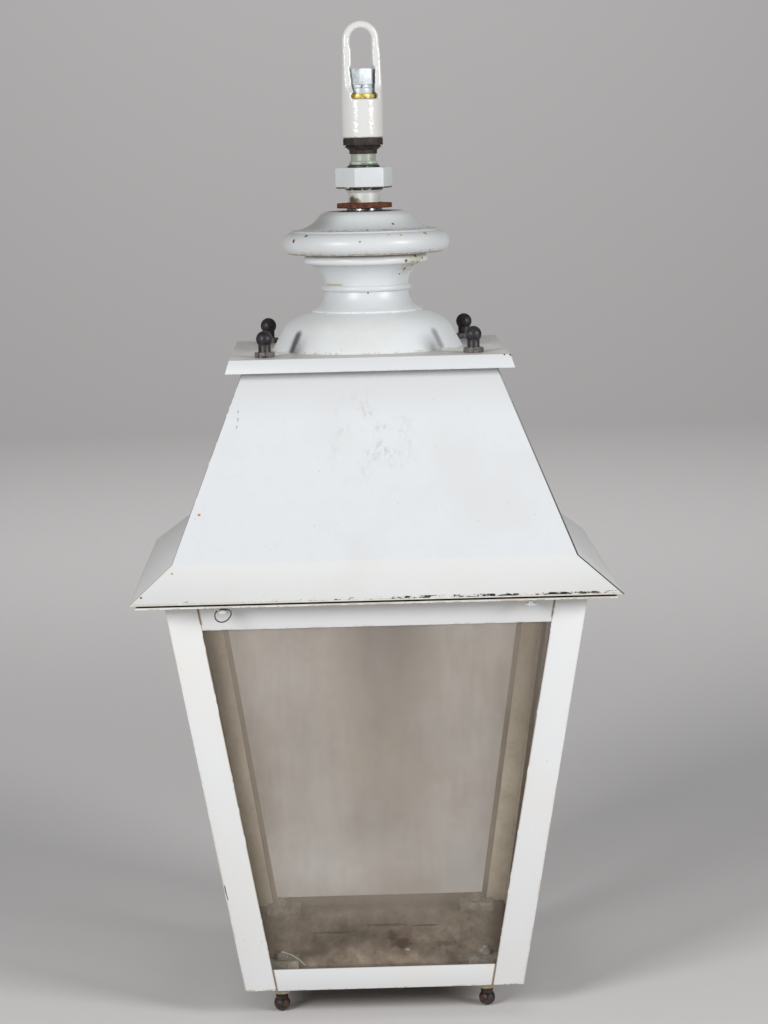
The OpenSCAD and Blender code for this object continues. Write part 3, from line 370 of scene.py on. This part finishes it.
def roof_scuffs(tree):
    """Two crossing sets of faint hatching in the middle of the front face."""
    middle = spot(tree, (-2, -160, 622), 62, 0.8)
    patch = add(tree, "MapRange.SMOOTHSTEP", add(tree, "TexNoise", place(tree), 1 / 26, 3), 0.48, 0.62)
    hatches = [add(tree, "TexNoise", add(tree, "Mapping", place(tree), None, (0, lean, 0), (1, 1, 0.12)), 1 / 3.2, 2)
               for lean in (0.9, -0.7)]
    lines = add(tree, "MapRange.SMOOTHSTEP", add(tree, "Math.MAXIMUM", *hatches), 0.52, 0.64, 0.0, 0.65)
    return add(tree, "Math.MULTIPLY", add(tree, "Math.MULTIPLY", lines, patch), middle)


def painted_shade_under_skirt(tree):
    """Painted shade where the steep face runs up under the cap plate."""
    return add(tree, "MapRange.SMOOTHSTEP", axis(tree, "Z"), 630, 692, 0.0, 0.9)


def flare_tone(tree):
    """The flare is a shade yellower than the steep face."""
    return add(tree, "MapRange.SMOOTHSTEP", axis(tree, "Z"), 501, 497, 0.0, 0.6)


def eave_chips(tree):
    """Dark dashes where the paint broke off along the eave, more of them towards the right."""
    dashes = add(tree, "TexNoise", add(tree, "Mapping", place(tree), None, None, (0.5, 1, 1)), 1 / 5, 4, 0.8)
    limit = add(tree, "MapRange", axis(tree, "X"), -120, 60, 0.63, 0.50)
    loose = add(tree, "MapRange.SMOOTHSTEP", add(tree, "Math.SUBTRACT", dashes, limit), 0.0, 0.03)
    front = add(tree, "MapRange.SMOOTHSTEP", add(tree, "Math.ADD", axis(tree, "Y"), side_axes(tree)[0]), -1, -4)
    return add(tree, "Math.MULTIPLY", add(tree, "Math.MULTIPLY", band(tree, 465.2, 467.0), loose), front)


# %% Roof lacquer
RUST_DOT = "#C08440"
roof_white = white_lacquer(
    "white_lacquer_roof", body="#E1E4E7", stain="#DBDCDB",
    # The grey cover under the cap plate is painted shade.
    covers=[(flare_tone, "#E6E6E1"), (painted_shade_under_skirt, "#D2D3D3"), (roof_scuffs, "#C4C0BA"), (hip_line, "#6F6759"),
            (open_hip, "#1E1A18"), (eave_chips, "#1F1B19")],
    bands=[(463.6, 465.6, "#C9B994", 14, 0.75, 0.85), (467.2, 470.2, "#9B968E", 4, 0.12, 0.5)],
    marks=[(RUST_DOT, (-178.8, -188.2, 547.2), 1.8), (RUST_DOT, (-206.8, -216.6, 491.2), 1.5),
           (CHIP_DARK, (-237.3, -241.0, 471.2), 1.3), ("#8B7F70", (-31.2, -211.7, 487.9), 1.0),
           ("#8B7F70", (-16.0, -213.0, 484.7), 0.8)],
    lines=[("#B3A488", (-112.4, -208.2, 496.8), (-51.5, -211.9, 487.5), 1.1),
           ("#6A635B", (-137.0, -147.6, 649.8), (-137.4, -148.4, 646.0), 0.9),
           ("#5C564F", (-137.2, -150.6, 641.8), (-137.9, -151.6, 638.0), 1.0),
           ("#6A635B", (-138.5, -153.6, 634.6), (-138.9, -154.4, 631.8), 0.9)])
print("made", roof_white.name)

# %% [markdown]
# ### The cap plate and the finial
# The cap plate is dusty on its flat top and beige along its lower edge. The finial is glossier. Its roll has
# dark chips on the left and orange specks on the right, a brown line lies on top of the bead, and a cluster
# of chips sits at the right end of the lip, under the roll.

# %% Masks on the cap plate and the finial


def top_dust(tree):
    """Dust on the flat top of the cap plate."""
    return add(tree, "MapRange.SMOOTHSTEP", axis(tree, "Z"), 700.6, 700.9, 0.0, 0.8)


def skirt_painted_shade(tree):
    """Painted shade: the skirt of the cap plate is greyer than its top."""
    return add(tree, "MapRange.SMOOTHSTEP", axis(tree, "Z"), 700.9, 700.3, 0.0, 0.7)


def nut_shadows_on_dome(tree):
    """Two painted shadows of the front ball nuts on the dome."""
    left = scratch(tree, (-74.0, -55.2, 719.0), (-77.7, -57.7, 711.6), 17, 0.85, 0.85)
    foot = scratch(tree, (-77.7, -57.7, 711.6), (-80.0, -59.2, 703.5), 15, 0.85, 0.85)
    right = scratch(tree, (70.3, -60.0, 719.8), (76.7, -63.7, 706.1), 16, 0.95, 0.55)
    return add(tree, "Math.MAXIMUM", add(tree, "Math.MAXIMUM", left, foot), right)


def bead_line(tree):
    """The brown line on top of the bead, at the left."""
    line = torn(tree, band(tree, 769.8, 771.4), 14, 0.9, 0.6)
    return add(tree, "Math.MULTIPLY", line, spot(tree, (-36, -27, 771), 17))


def crown_ring(tree):
    """Turns the flat of the crown, around the pipe, nearly black."""
    return add(tree, "MapRange.SMOOTHSTEP", axis(tree, "Z"), 847.4, 847.8, 0.0, 0.9)


def crown_left_painted_shade(tree):
    """Painted shade in grey on the left slope of the crown."""
    return add(tree, "Math.MULTIPLY", spot(tree, (-58, -26, 838), 46, 0.9), band(tree, 831, 848, 3))


def lip_cluster(tree):
    """Speckled dirt at the right end of the lip and the throat."""
    return torn(tree, spot(tree, (46.0, -38.0, 790.0), 27, 0.9), 1.8, 0.36, 0.9)


def lip_shade(tree):
    """A yellow cast on the same place, around the specks."""
    return torn(tree, spot(tree, (50.0, -36.0, 792.0), 25, 0.9), 12, 0.75, 0.5)


def neck_painted_shade(tree):
    """Painted shade: the narrow neck is greyer than the dome and the lip."""
    return add(tree, "Math.MULTIPLY", band(tree, 750, 788, 8), 0.65)


# %% Cap plate lacquer
cap_white = white_lacquer(
    "white_lacquer_cap_plate", body="#E6E8EA", stain="#DEDEDB",
    # The greyer skirt is painted shade.
    covers=[(top_dust, "#DFDDD6"), (skirt_painted_shade, "#CCCFD0")], bands=[(687.0, 688.0, "#A89A82", 10, 0.5, 0.6)],
    marks=[(CHIP_DARK, (145.8, -145.3, 700.9), 2.2), (CHIP_DARK, (139.0, -145.5, 700.9), 1.2)])
print("made", cap_white.name)

# %% Finial lacquer
# The neck's grey cover is painted shade.
neck_white = white_lacquer(
    "white_lacquer_neck", body="#E1E4E6", stain="#D6D6D0", gloss=0.33,
    # The two dark marks on the dome are painted shadows of the front ball nuts.
    covers=[(neck_painted_shade, "#C9CCCE"), (nut_shadows_on_dome, "#2F2C28"), (bead_line, "#A58F63"), (lip_shade, "#B9A878"),
            (lip_cluster, "#4E4534")],
    bands=[(700.9, 702.6, "#B8AB8C", 8, 0.45, 0.6), (741.2, 742.4, "#CFC8B4", 14, 0.4, 0.6),
           (762.0, 762.8, "#B9AE93", 12, 0.4, 0.5), (790.4, 791.8, "#BDB49B", 10, 0.5, 0.6)],
    marks=[(CHIP_DARK, (59.9, -29.3, 797.2), 1.5), (CHIP_DARK, (54.3, -36.2, 793.3), 1.3),
           (CHIP_DARK, (49.1, -29.0, 790.0), 1.6), (CHIP_DARK, (42.3, -51.2, 795.2), 1.8),
           (CHIP_DARK, (40.4, -33.1, 786.0), 2.1), (CHIP_DARK, (47.1, -18.5, 784.3), 1.4),
           (CHIP_DARK, (35.0, -33.0, 780.9), 1.2), (CHIP_DARK, (52.2, -39.6, 799.8), 1.9),
           (CHIP_DARK, (63.4, -14.4, 800.5), 1.5), ("#6B6455", (1.0, -45.2, 761.9), 1.3)])
# The crown's body and stain are greyer than the other whites: painted shade on its upward slopes.
crown_white = white_lacquer(
    "white_lacquer_crown", body="#D3D6D7", stain="#C8C8C2", gloss=0.33,
    # The grey on the crown's left slope is painted shade.
    covers=[(crown_left_painted_shade, "#A3A5A2"), (crown_ring, "#191513")],
    bands=[(802.0, 804.6, "#A8997B", 7, 0.70, 0.85), (827.9, 829.6, "#8C8778", 3, 0.5, 0.8),
           (804.6, 807.5, "#BFB69E", 5, 0.36, 0.6)],
    marks=[(CHIP_DARK, (-62.8, -57.2, 824.2), 2.2), (CHIP_DARK, (-76.3, -46.4, 818.8), 2.3),
           ("#8D8778", (-6.6, -89.4, 817.7), 1.4), (CHIP_DARK, (1.6, -69.4, 829.4), 1.7),
           (CHIP_DARK, (29.1, -50.1, 834.5), 1.7), ("#D3B07C", (23.5, -81.9, 824.1), 1.6),
           ("#D0A568", (36.5, -77.6, 823.6), 1.9), ("#C08A45", (62.6, -57.2, 824.4), 2.8),
           (CHIP_DARK, (57.8, -59.4, 803.5), 1.5), (CHIP_DARK, (67.5, -54.8, 806.2), 1.2),
           (CHIP_DARK, (75.8, -28.2, 802.9), 1.6)])
print("made", neck_white.name, crown_white.name)

# %% [markdown]
# ### The cage's own wear
# The posts are yellowed along their outer corner and chipped on the left leg. Beside each post the seam
# shows as a thin brown line. Inside, where the sheets were never washed, all faces are olive-beige. The
# plate under the roof is painted black in the gap as shade, and only its edge is white.

# %% Masks on the cage


def corner_wear(tree):
    """Yellowed paint along the outer corner of the posts, more of it near the floor."""
    near = add(tree, "MapRange.SMOOTHSTEP", from_corner(tree), -2.2, -0.4)
    low = add(tree, "MapRange", axis(tree, "Z"), 460, 40, 0.10, 0.45)
    return torn(tree, add(tree, "Math.MULTIPLY", near, low), 30, 0.7)


def post_seam(tree):
    """The brown line along the inner edge of a post face."""
    return torn(tree, add(tree, "MapRange.SMOOTHSTEP", from_corner(tree), -31.8, -32.6), 22, 0.8, 0.8)


def rail_seam(tree):
    """The brown line at the ends of a rail, beside the posts."""
    return torn(tree, add(tree, "MapRange.SMOOTHSTEP", from_corner(tree), -35.4, -33.9), 22, 0.8, 0.9)


def inner_face(tree):
    """The sides of posts and rails that look into the lantern."""
    return add(tree, "MapRange.SMOOTHSTEP", outwards(tree), -0.9, -1.3, 0.0, 0.9)


def gap_painted_shade(tree):
    """Painted shade, nearly black, on the plate inside the gap under the roof."""
    inside = add(tree, "MapRange.SMOOTHSTEP", add(tree, "Math.MAXIMUM", *side_axes(tree)), 243.2, 242.2)
    return add(tree, "Math.MULTIPLY", inside, add(tree, "MapRange.SMOOTHSTEP", axis(tree, "Z"), 460.6, 460.9))


# %% Cage lacquer
post_white = white_lacquer(
    "white_lacquer_posts", body="#DFE0E1", stain="#DFDEDA",
    covers=[(corner_wear, "#B9A67E"), (post_seam, "#93846A"), (inner_face, "#9C9178")],
    bands=[(32.2, 34.4, "#B4A27C", 12, 0.5, 0.6), (32.2, 32.9, "#4A4038", 6, 0.5, 0.8)],
    marks=[(CHIP_DARK, (-176.5, -175.3, 206.4), 1.3), (CHIP_DARK, (-175.8, -174.1, 198.6), 1.6),
           (CHIP_DARK, (-177.2, -175.0, 209.5), 0.9)],
    lines=[(CHIP_DARK, (-165.3, -166.7, 152.7), (-164.1, -165.4, 144.8), 1.4),
           (CHIP_DARK, (-164.1, -165.4, 144.8), (-162.3, -164.2, 136.9), 1.2)])
rail_white = white_lacquer(
    "white_lacquer_rails", body="#DADBDC", stain="#DCDAD4", covers=[(rail_seam, "#8B7B62"), (inner_face, "#5F4A32")],
    bands=[(430.6, 432.2, "#BBAE93", 14, 0.5, 0.6), (32.2, 33.4, "#B4A27C", 9, 0.5, 0.6)])
# The black in the gap under the roof is painted shade.
frame_white = white_lacquer(
    "white_lacquer_frame", body="#E6E5E1", stain="#D6D0C0", covers=[(gap_painted_shade, "#100E0D")],
    bands=[(458.8, 459.6, "#A8987A", 12, 0.6, 0.7)])
print("made", post_white.name, rail_white.name, frame_white.name)

# %% [markdown]
# ### The eye, the nut and the pipes
# The eye is brushed with thick gloss paint, so its highlights wander. The nut has the same paint, thinner.
# Both pipes were painted over threads and thread paste, and carry green-brown stains.

# %% Masks on the nut and the pipes


def pipe_stain(tree):
    """A brown-green stain on the left of the lower pipe, above the rusty nut."""
    rag = add(tree, "TexNoise", place(tree), 1 / 4, 4)
    main = spot(tree, (-14, -11, 858), 8, 0.5, rag)
    return add(tree, "Math.MAXIMUM", main, spot(tree, (-8, -15, 857), 6, 0.5, rag))


def nut_foot_painted_shade(tree):
    """A torn line of painted shade around the foot of the large nut."""
    return torn(tree, band(tree, 870.2, 873.4), 12, 0.85)


def upper_dark_corner(tree):
    """Black-green in the corner between the upper pipe and the nut."""
    return torn(tree, band(tree, 893.6, 896.6), 12, 0.95, 0.95)


# %% Eye, nut and pipe lacquer
eye_white = white_lacquer("white_gloss_eye", body="#DADAD8", stain="#D6D4CD", gloss=0.14, peel=0.8, peel_size=5,
                          bands=[(925.0, 926.4, "#B4A88C", 8, 0.5, 0.6)])
# The dark line at the nut's foot is painted shade.
nut_white = white_lacquer("white_gloss_nut", body="#D1D5D7", stain="#C9CBC8", gloss=0.3,
                          covers=[(nut_foot_painted_shade, "#3F3D2A")], bands=[(866.8, 869.4, "#C8C4AE", 7, 0.5, 0.7)])
pipe_white = white_lacquer("white_lacquer_pipe", body="#C6C7C1", stain="#B5B29F", gloss=0.36,
                           covers=[(pipe_stain, "#5C5238")], bands=[(853.0, 855.4, "#6E5F3C", 5, 0.7, 0.85)])
upper_white = white_lacquer("white_lacquer_upper_pipe", body="#A0A69D", stain="#868874", gloss=0.36,
                            covers=[(upper_dark_corner, "#23211A")],
                            bands=[(896.8, 898.4, "#66725F", 10, 0.75, 0.9), (898.4, 900.4, "#BCC8BC", 12, 0.6, 0.8),
                                   (901.0, 912.0, "#857A58", 6, 0.35, 0.7)])
print("made", eye_white.name, nut_white.name, pipe_white.name, upper_white.name)

# %% [markdown]
# ### Dirty glass
# The panes carry a warm beige film. On the front and the rear it is thin and even, with a darker column up the
# middle and a darker top, both painted shadow, and it is thicker near the posts. On the sides it is
# thick and streaked. Low on the front and the rear it is thinnest, so the tray shows. The film is the shader's own
# dust colour, and the glass between is left open with alpha, so that the far side shows through. The front
# pane has a curved scratch. Glass has an IOR of 1.5.

# %% Dirty glass
GLASS_IOR = 1.5
SHADOW_X = 10.0
SCRATCH_TONE = "#EFE9DE"


def dusty_glass(name, tone, dark_tone, thin, thick, streaks, shadow_depth=0.0, washed=1.0, lines=()):
    """Gives the eye a warm haze that hides part of what is behind. Thin and thick are the film's least and
    most cover, shadow_depth is how dark the painted shadow is in the column up the middle and at the top, and washed
    is the share left low down."""
    material, tree, shader = new_material(name)
    film = add(tree, "TexNoise", place(tree), 1 / 90, 4)
    streak = add(tree, "TexNoise", add(tree, "Mapping", place(tree), None, None, (1, 1, 0.035)), 1 / 11, 4)
    smear = add(tree, "TexNoise", add(tree, "Mapping", place(tree), None, (0.2, 0.1, 0), (1, 1, 0.5)), 1 / 30, 5)
    dust = add(tree, "Math.MULTIPLY_ADD", streak, streaks, film)
    dust = add(tree, "Math.MULTIPLY_ADD", smear, 0.6, dust)
    middle = 0.8 + 0.5 * streaks
    dust = add(tree, "MapRange.SMOOTHSTEP", dust, middle - 0.28, middle + 0.28)
    edge = add(tree, "MapRange.SMOOTHSTEP", from_corner(tree), -62, -34)
    aside = add(tree, "Math.ABSOLUTE", add(tree, "Math.SUBTRACT", axis(tree, "X"), SHADOW_X))
    # Painted shadow: a darker column up the middle of the pane, and a darker band at its top.
    shadow_column = add(tree, "MapRange.SMOOTHSTEP", aside, 78, 8, 0.0, shadow_depth)
    shadow_column = add(tree, "Math.MULTIPLY", shadow_column, add(tree, "MapRange", axis(tree, "Z"), 60, 430, 0.35, 1.0))
    high = add(tree, "MapRange.SMOOTHSTEP", axis(tree, "Z"), 290, 440, 0.0, shadow_depth * 0.5)
    shadow_column = add(tree, "Math.ADD", shadow_column, high)
    amount = add(tree, "Math.MULTIPLY_ADD", edge, 0.45, add(tree, "Math.MULTIPLY_ADD", dust, 0.6, shadow_column))
    amount = add(tree, "MapRange", amount, 0.0, 1.0, thin, thick)
    left = add(tree, "MapRange.SMOOTHSTEP", axis(tree, "Z"), 80, 150, washed, 1.0)
    amount = add(tree, "Math.MULTIPLY", amount, left)
    dark = add(tree, "Math.MAXIMUM", edge, add(tree, "Math.MAXIMUM", shadow_column, add(tree, "Math.MULTIPLY", dust, 0.35)))
    colour = add(tree, "Mix.RGBA", dark, linear(tone), linear(dark_tone))
    for start, end, width in lines:
        line = scratch(tree, start, end, width, 0.5, 0.6)
        colour = add(tree, "Mix.RGBA", line, colour, linear(SCRATCH_TONE))
        amount = add(tree, "Math.MAXIMUM", amount, line)
    tree.links.new(colour, shader.inputs["Base Color"])
    tree.links.new(amount, shader.inputs["Alpha"])
    tree.links.new(add(tree, "MapRange", dust, 0.0, 1.0, 0.10, 0.32), shader.inputs["Roughness"])
    shader.inputs["IOR"].default_value = GLASS_IOR
    return material


SCRATCH = [(-106.6, -152.3, 76.0), (-97.2, -151.7, 72.3), (-88.9, -150.7, 66.4), (-83.8, -149.8, 60.5)]
arc = [(start, end, 1.1) for start, end in zip(SCRATCH, SCRATCH[1:])]
# The 0.5 is how dark the painted shadow is on the front and rear panes.
clear_glass = dusty_glass("dusty_glass_front", "#BDAF9D", "#776C61", 0.13, 0.38, 0.35, 0.5, 0.25, arc)
side_glass = dusty_glass("dusty_glass_side", "#A89D8F", "#6E6358", 0.28, 0.62, 1.1)
print("made", clear_glass.name, side_glass.name)

# %% [markdown]
# ### Blotched metals and old paints
# Black oxide on the ball nuts, zinc on the bolts, brass on the washer, rust on the back nut. Two or more
# tones lie in blotches of a real size, from dark to light. Zinc and brass are metals, but a dull skin lies
# over them, so only part of the metal's sheen is left. A metal keeps the shader's own IOR.

# %% One recipe for blotched finishes


def blotched(name, tones, size, metallic, roughness, relief=0.15, covers=(), drag=(1, 1, 1)):
    """Gives the eye a surface in several tones. The size of the blotches and the relief are in millimetres."""
    material, tree, shader = new_material(name)
    grain = add(tree, "TexNoise", add(tree, "Mapping", place(tree), None, None, drag), 1 / size, 5, 0.7)
    colour = add(tree, "ValToRGB", grain)
    points = colour.node.color_ramp.elements
    while len(points) < len(tones):
        points.new(0.5)
    for i, (point, tone) in enumerate(zip(points, tones)):
        point.position = 0.35 + 0.3 * i / (len(tones) - 1)
        point.color = linear(tone)
    for cover, tone in covers:
        colour = add(tree, "Mix.RGBA", cover(tree), colour, linear(tone))
    tree.links.new(colour, shader.inputs["Base Color"])
    rough = add(tree, "MapRange", grain, 0.0, 1.0, roughness - 0.1, roughness + 0.12)
    tree.links.new(rough, shader.inputs["Roughness"])
    shader.inputs["Metallic"].default_value = metallic
    pits = add(tree, "TexNoise", place(tree), 2.5 / size, 4)
    tree.links.new(add(tree, "Bump", 0.6, relief * MM, None, pits), shader.inputs["Normal"])
    return material


# %% Masks on the ball nuts and the strips


def worn_foot(tree):
    """The grey, rubbed foot of each ball nut on the cap."""
    return torn(tree, band(tree, 700.0, 706.4), 5, 0.75, 0.85)


def oxide_rust(tree):
    """Brown rust on the ball nuts, in the waist and below."""
    return torn(tree, band(tree, 0.0, 715.0), 8, 0.30, 0.8)


def foot_rust(tree):
    """The four balls that the lantern stands on have rusted more."""
    return torn(tree, band(tree, 0.0, 40.0), 7, 0.55, 0.85)


def darker_front_and_top(tree):
    """The strips in the front corners are browner than those at the rear, and so is the top of each."""
    deep = add(tree, "MapRange.SMOOTHSTEP", axis(tree, "Y"), 20, -50, 0.0, 0.65)
    return add(tree, "Math.MAXIMUM", deep, add(tree, "MapRange", axis(tree, "Z"), 200, 440, 0.0, 0.5))


# %% [markdown]
# ### The floor tray
# Never cleaned: brown-grey, blotched, darker at its rim, with small dark scratches, one rust stain and a
# white fleck of paint in front of it.

# %% Floor tray


def tray_rim(tree):
    """Darker dirt towards the rim of the tray."""
    far = add(tree, "Math.MAXIMUM", *side_axes(tree))
    return add(tree, "MapRange.SMOOTHSTEP", far, 92, 134, 0.0, 0.6)


def tray_stain(x, y, wide, deep, soft=0.5, strength=0.9):
    """A cover that lays one ragged stain on the tray. Wide is its reach along x, and deep along y."""
    def cover(tree):
        squashed = add(tree, "VectorMath.MULTIPLY", place(tree), (1 / wide, 1 / deep, 0))
        ragged = add(tree, "TexNoise", add(tree, "Mapping", place(tree), None, None, (1, 0.3, 1)), 1 / 6, 4)
        far = add(tree, "VectorMath.DISTANCE", squashed, (x / wide, y / deep, 0))
        far = add(tree, "Math.ADD", far, add(tree, "Math.MULTIPLY_ADD", ragged, 1.4, -0.7))
        return add(tree, "MapRange.SMOOTHSTEP", far, 1.0, 1.0 - soft, 0.0, strength)
    return cover


tray_finish = blotched(
    "grimy_tray_lacquer", ["#7A6C5C", "#9A8A79", "#AC9C8A", "#C0B19E"], 17, 0.0, 0.72, 0.3,
    [(tray_rim, "#4E4338"), (tray_stain(20, -12, 30, 75, 0.9, 0.6), "#7A5030"),
     (tray_stain(21, -30, 14, 26, 0.6), "#37231A"), (tray_stain(12, 6, 9, 30, 0.7), "#4A2F1E"),
     (tray_stain(27, -56, 3.5, 7), "#EAE2D6"), (tray_stain(8, 48, 34, 9, 0.6), "#3A3029"),
     (tray_stain(48, 42, 22, 6, 0.6), "#3A3029"), (tray_stain(-50, 22, 30, 7, 0.6, 0.7), "#3E342B"),
     (tray_stain(66, -36, 16, 18, 0.8, 0.6), "#4A4038"), (tray_stain(-78, -60, 22, 20, 0.8, 0.5), "#4A4038")],
    drag=(1, 0.28, 1))
print("made", tray_finish.name)

# %% Which finish goes where
FINISH = {
    # lacquers and glass from the cells above
    "white_paint": frame_white,
    "eye_paint": eye_white,
    "dusty_glass": clear_glass,
    "tray_paint": tray_finish,
    # lacquer that was never washed: dull olive-beige, browner in front
    "inner_paint": blotched("aged_inner_lacquer", ["#CFC4AA", "#E4DBC5", "#EFE8D6"], 26, 0.0, 0.6, 0.05,
                            [(darker_front_and_top, "#8A7D6B")]),
    # cast iron under black oxide: nearly black with a dull sheen, brown where it rusts
    "ball_iron": blotched("black_oxide", ["#1B1A1D", "#29272B", "#3C3739"], 5, 0.2, 0.45, 0.15,
                          [(oxide_rust, "#4A3026"), (foot_rust, "#5A3B2B"), (worn_foot, "#7B7573")]),
    # white lacquer yellowed by grease: cream with brownish blotches
    "collar_paint": blotched("yellowed_lacquer", ["#A8996F", "#CFC4A4", "#DDD6C2"], 7, 0.0, 0.5, 0.05),
    # zinc plate dulled by weather: light blue-grey with a faint metal sheen
    "zinc": blotched("zinc_plate", ["#AEB7BC", "#C7CFD3", "#D8DCDE"], 5, 0.25, 0.45, 0.05),
    # brass with a film of tarnish: warm yellow with soft glints
    "brass": blotched("yellow_brass", ["#A08A3A", "#D9C06A", "#F0E2A0"], 5, 0.4, 0.4, 0.04),
    # iron under red rust: rough, without any glint
    "rusty_iron": blotched("red_rust", ["#3A1D12", "#5F3320", "#7A4529"], 4, 0.1, 0.85, 0.3),
    # malleable iron with its brown skin: dark, almost matt
    "dark_iron": blotched("brown_malleable_iron", ["#1C1614", "#2F2622", "#43362F"], 5, 0.2, 0.6, 0.2),
    # foam rubber: black and matt
    "gasket_rubber": blotched("sponge_rubber", ["#0D0D0E", "#151516", "#1E1E1F"], 3, 0.0, 0.9, 0.2),
    # porcelain under glaze: warm white with sharp highlights
    "porcelain": blotched("glazed_porcelain", ["#E2DCCB", "#EEEADF", "#F2EFE6"], 12, 0.0, 0.15, 0.02),
}
# polished zinc: dark and bright reflections are painted into its colour as blotches
ring_zinc = blotched("zinc_ring_painted_reflections", ["#2A2726", "#C9CDD0", "#E4E6E7"], 6, 0.9, 0.22, 0.05)
# zinc under the tray's dirt: grey-brown and dull
grimy_zinc = blotched("grimy_zinc", ["#7D756A", "#9A9388", "#B2ACA1"], 6, 0.2, 0.6, 0.1)
OWN_FINISH = {"roof_": roof_white, "cap_plate": cap_white, "finial_neck": neck_white, "finial_cap": crown_white,
              "post_": post_white, "top_rail_": rail_white, "bottom_rail_": rail_white,
              "lower_pipe": pipe_white, "upper_pipe": upper_white, "large_nut": nut_white,
              "glass_left": side_glass, "glass_right": side_glass, "seal_ring": ring_zinc,
              "foot_studs": grimy_zinc, "corner_brackets": grimy_zinc}
print(len(FINISH) + len(OWN_FINISH), "finishes are ready")

# %% [markdown]
# ## Dressing the solids
# A folded or turned piece never has a razor edge. Each solid is copied, its loose triangles are merged,
# flat neighbours become one face, and a narrow bevel breaks the edges. The copy then stands for the solid.
# The eaves end in an acute fold, where a wide bevel would cut the tips off, so the roof gets a fine one.

# %% Dress the solids
SLOT_OF = {part["node"]: part["material_slot"] for part in frame["record"]["subparts"]}
BODY_OF = {name: body for body, names in frame["record"]["behaviour"]["bodies"].items() for name in names}
MERGE_MM = 0.01
FLAT_DEG = 0.5
SHARP_DEG = 40
ROUND_DEG = 35
EDGE_SEGMENTS = 2
FINE_EDGE_MM = 0.2


def finish_of(name):
    for start, material in OWN_FINISH.items():
        if name.startswith(start):
            return material
    return FINISH[SLOT_OF[name]]


def stand_for(piece, name):
    """Gives a piece the finish, slot and body of the solid that it stands for."""
    piece.data.materials.clear()
    piece.data.materials.append(finish_of(name))
    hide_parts(name)
    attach(piece, BODY_OF[name])


def copy_of(name):
    """A copy of one solid with its loose triangles merged into clean faces. It is left selected."""
    deselect()
    source = frame["nodes"][name]
    piece = source.copy()
    piece.data = source.data.copy()
    piece.parent = None
    for key in list(piece.keys()):  # the frame's own notes belong to the solid alone
        del piece[key]
    piece.name = "dressed_" + name
    bpy.context.scene.collection.objects.link(piece)
    bpy.context.view_layer.objects.active = piece
    piece.select_set(True)
    bpy.ops.object.mode_set(mode="EDIT")
    bpy.ops.mesh.select_all(action="SELECT")
    bpy.ops.mesh.customdata_custom_splitnormals_clear()
    bpy.ops.mesh.remove_doubles(threshold=MERGE_MM * MM)
    bpy.ops.mesh.dissolve_limited(angle_limit=math.radians(FLAT_DEG))
    bpy.ops.object.mode_set(mode="OBJECT")
    return piece


def dress(name, bevel_mm):
    """A copy of one solid with broken edges, smooth where it is round."""
    piece = copy_of(name)
    if bevel_mm:
        bevel = piece.modifiers.new("broken_edges", "BEVEL")
        bevel.width = bevel_mm * MM
        bevel.segments = EDGE_SEGMENTS
        bevel.limit_method = "ANGLE"
        bevel.angle_limit = math.radians(SHARP_DEG)
        bpy.ops.object.modifier_apply(modifier=bevel.name)
    bpy.ops.object.shade_smooth_by_angle(angle=math.radians(ROUND_DEG))
    stand_for(piece, name)


BEVEL_MM = {"roof_": 0.2, "cap_plate": 0.4, "post_": 0.5, "top_rail_": 0.5, "bottom_rail_": 0.5, "frame_plate": 0.3,
            "large_nut": 0.6, "finial_": 0, "glass_": 0.3, "cap_balls": 0.3}
BY_HAND = ("wire_loop", "suspension_eye")
for name in sorted(frame["nodes"]):
    if name not in BY_HAND:
        dress(name, next((mm for start, mm in BEVEL_MM.items() if name.startswith(start)), FINE_EDGE_MM))
print("dressed", len(frame["nodes"]) - len(BY_HAND), "solids")

# %% [markdown]
# ## The suspension eye
# The eye is a casting under several coats of brushed gloss paint, so its bow, its walls and its socket melt
# into each other without one crisp edge. A remesh turns the solid into an even skin of small squares, and a
# smoothing pass lets that skin flow over the corners, as the sand mould and the paint do.

# %% Suspension eye
EYE_SKIN_MM = 0.9
eye = copy_of("suspension_eye")
skin = eye.modifiers.new("even_skin", "REMESH")
skin.mode = "VOXEL"
skin.voxel_size = EYE_SKIN_MM * MM
skin.use_smooth_shade = True
bpy.ops.object.modifier_apply(modifier=skin.name)
flow = eye.modifiers.new("cast_and_painted", "SMOOTH")
flow.factor = 0.5
flow.iterations = 30
bpy.ops.object.modifier_apply(modifier=flow.name)
bpy.ops.object.shade_smooth()
stand_for(eye, "suspension_eye")
print("the eye has", len(eye.data.polygons), "faces")

# %% [markdown]
# ## The wire loop
# A bit of black binding wire hangs from the left lock screw, bent by hand into a flat-topped loop. A curve
# through ten points with a round section gives the bends that a perfect ring hasn't, and is then made a
# mesh. It hangs where the solid's ring is.

# %% Wire loop
WIRE = [(-161.6, 455.6), (-163.6, 451.6), (-162.4, 446.6), (-158.4, 444.2), (-153.2, 444.8), (-149.0, 448.4),
        (-147.2, 453.2), (-149.6, 456.4), (-155.4, 456.8), (-158.6, 456.6)]
WIRE_MM = 1.3
low_corner, high_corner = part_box("wire_loop")
deselect()
bpy.ops.curve.primitive_bezier_curve_add(location=(0, 0, 0))
loop = bpy.context.object
spline = loop.data.splines[0]
spline.bezier_points.add(len(WIRE) - 2)
for point, (x, z) in zip(spline.bezier_points, WIRE):
    point.co = (x * MM, (low_corner.y + high_corner.y) / 2, z * MM)
    point.handle_left_type = point.handle_right_type = "AUTO"
loop.data.dimensions = "3D"
loop.data.bevel_depth = WIRE_MM / 2 * MM
loop.data.bevel_resolution = 3
loop.data.use_fill_caps = True
loop.data.resolution_u = 8
bpy.ops.object.convert(target="MESH")
bpy.ops.object.shade_smooth()
loop = bpy.context.object
loop.name = "bent_wire_loop"
stand_for(loop, "wire_loop")
print("the wire loop has", len(loop.data.polygons), "faces")
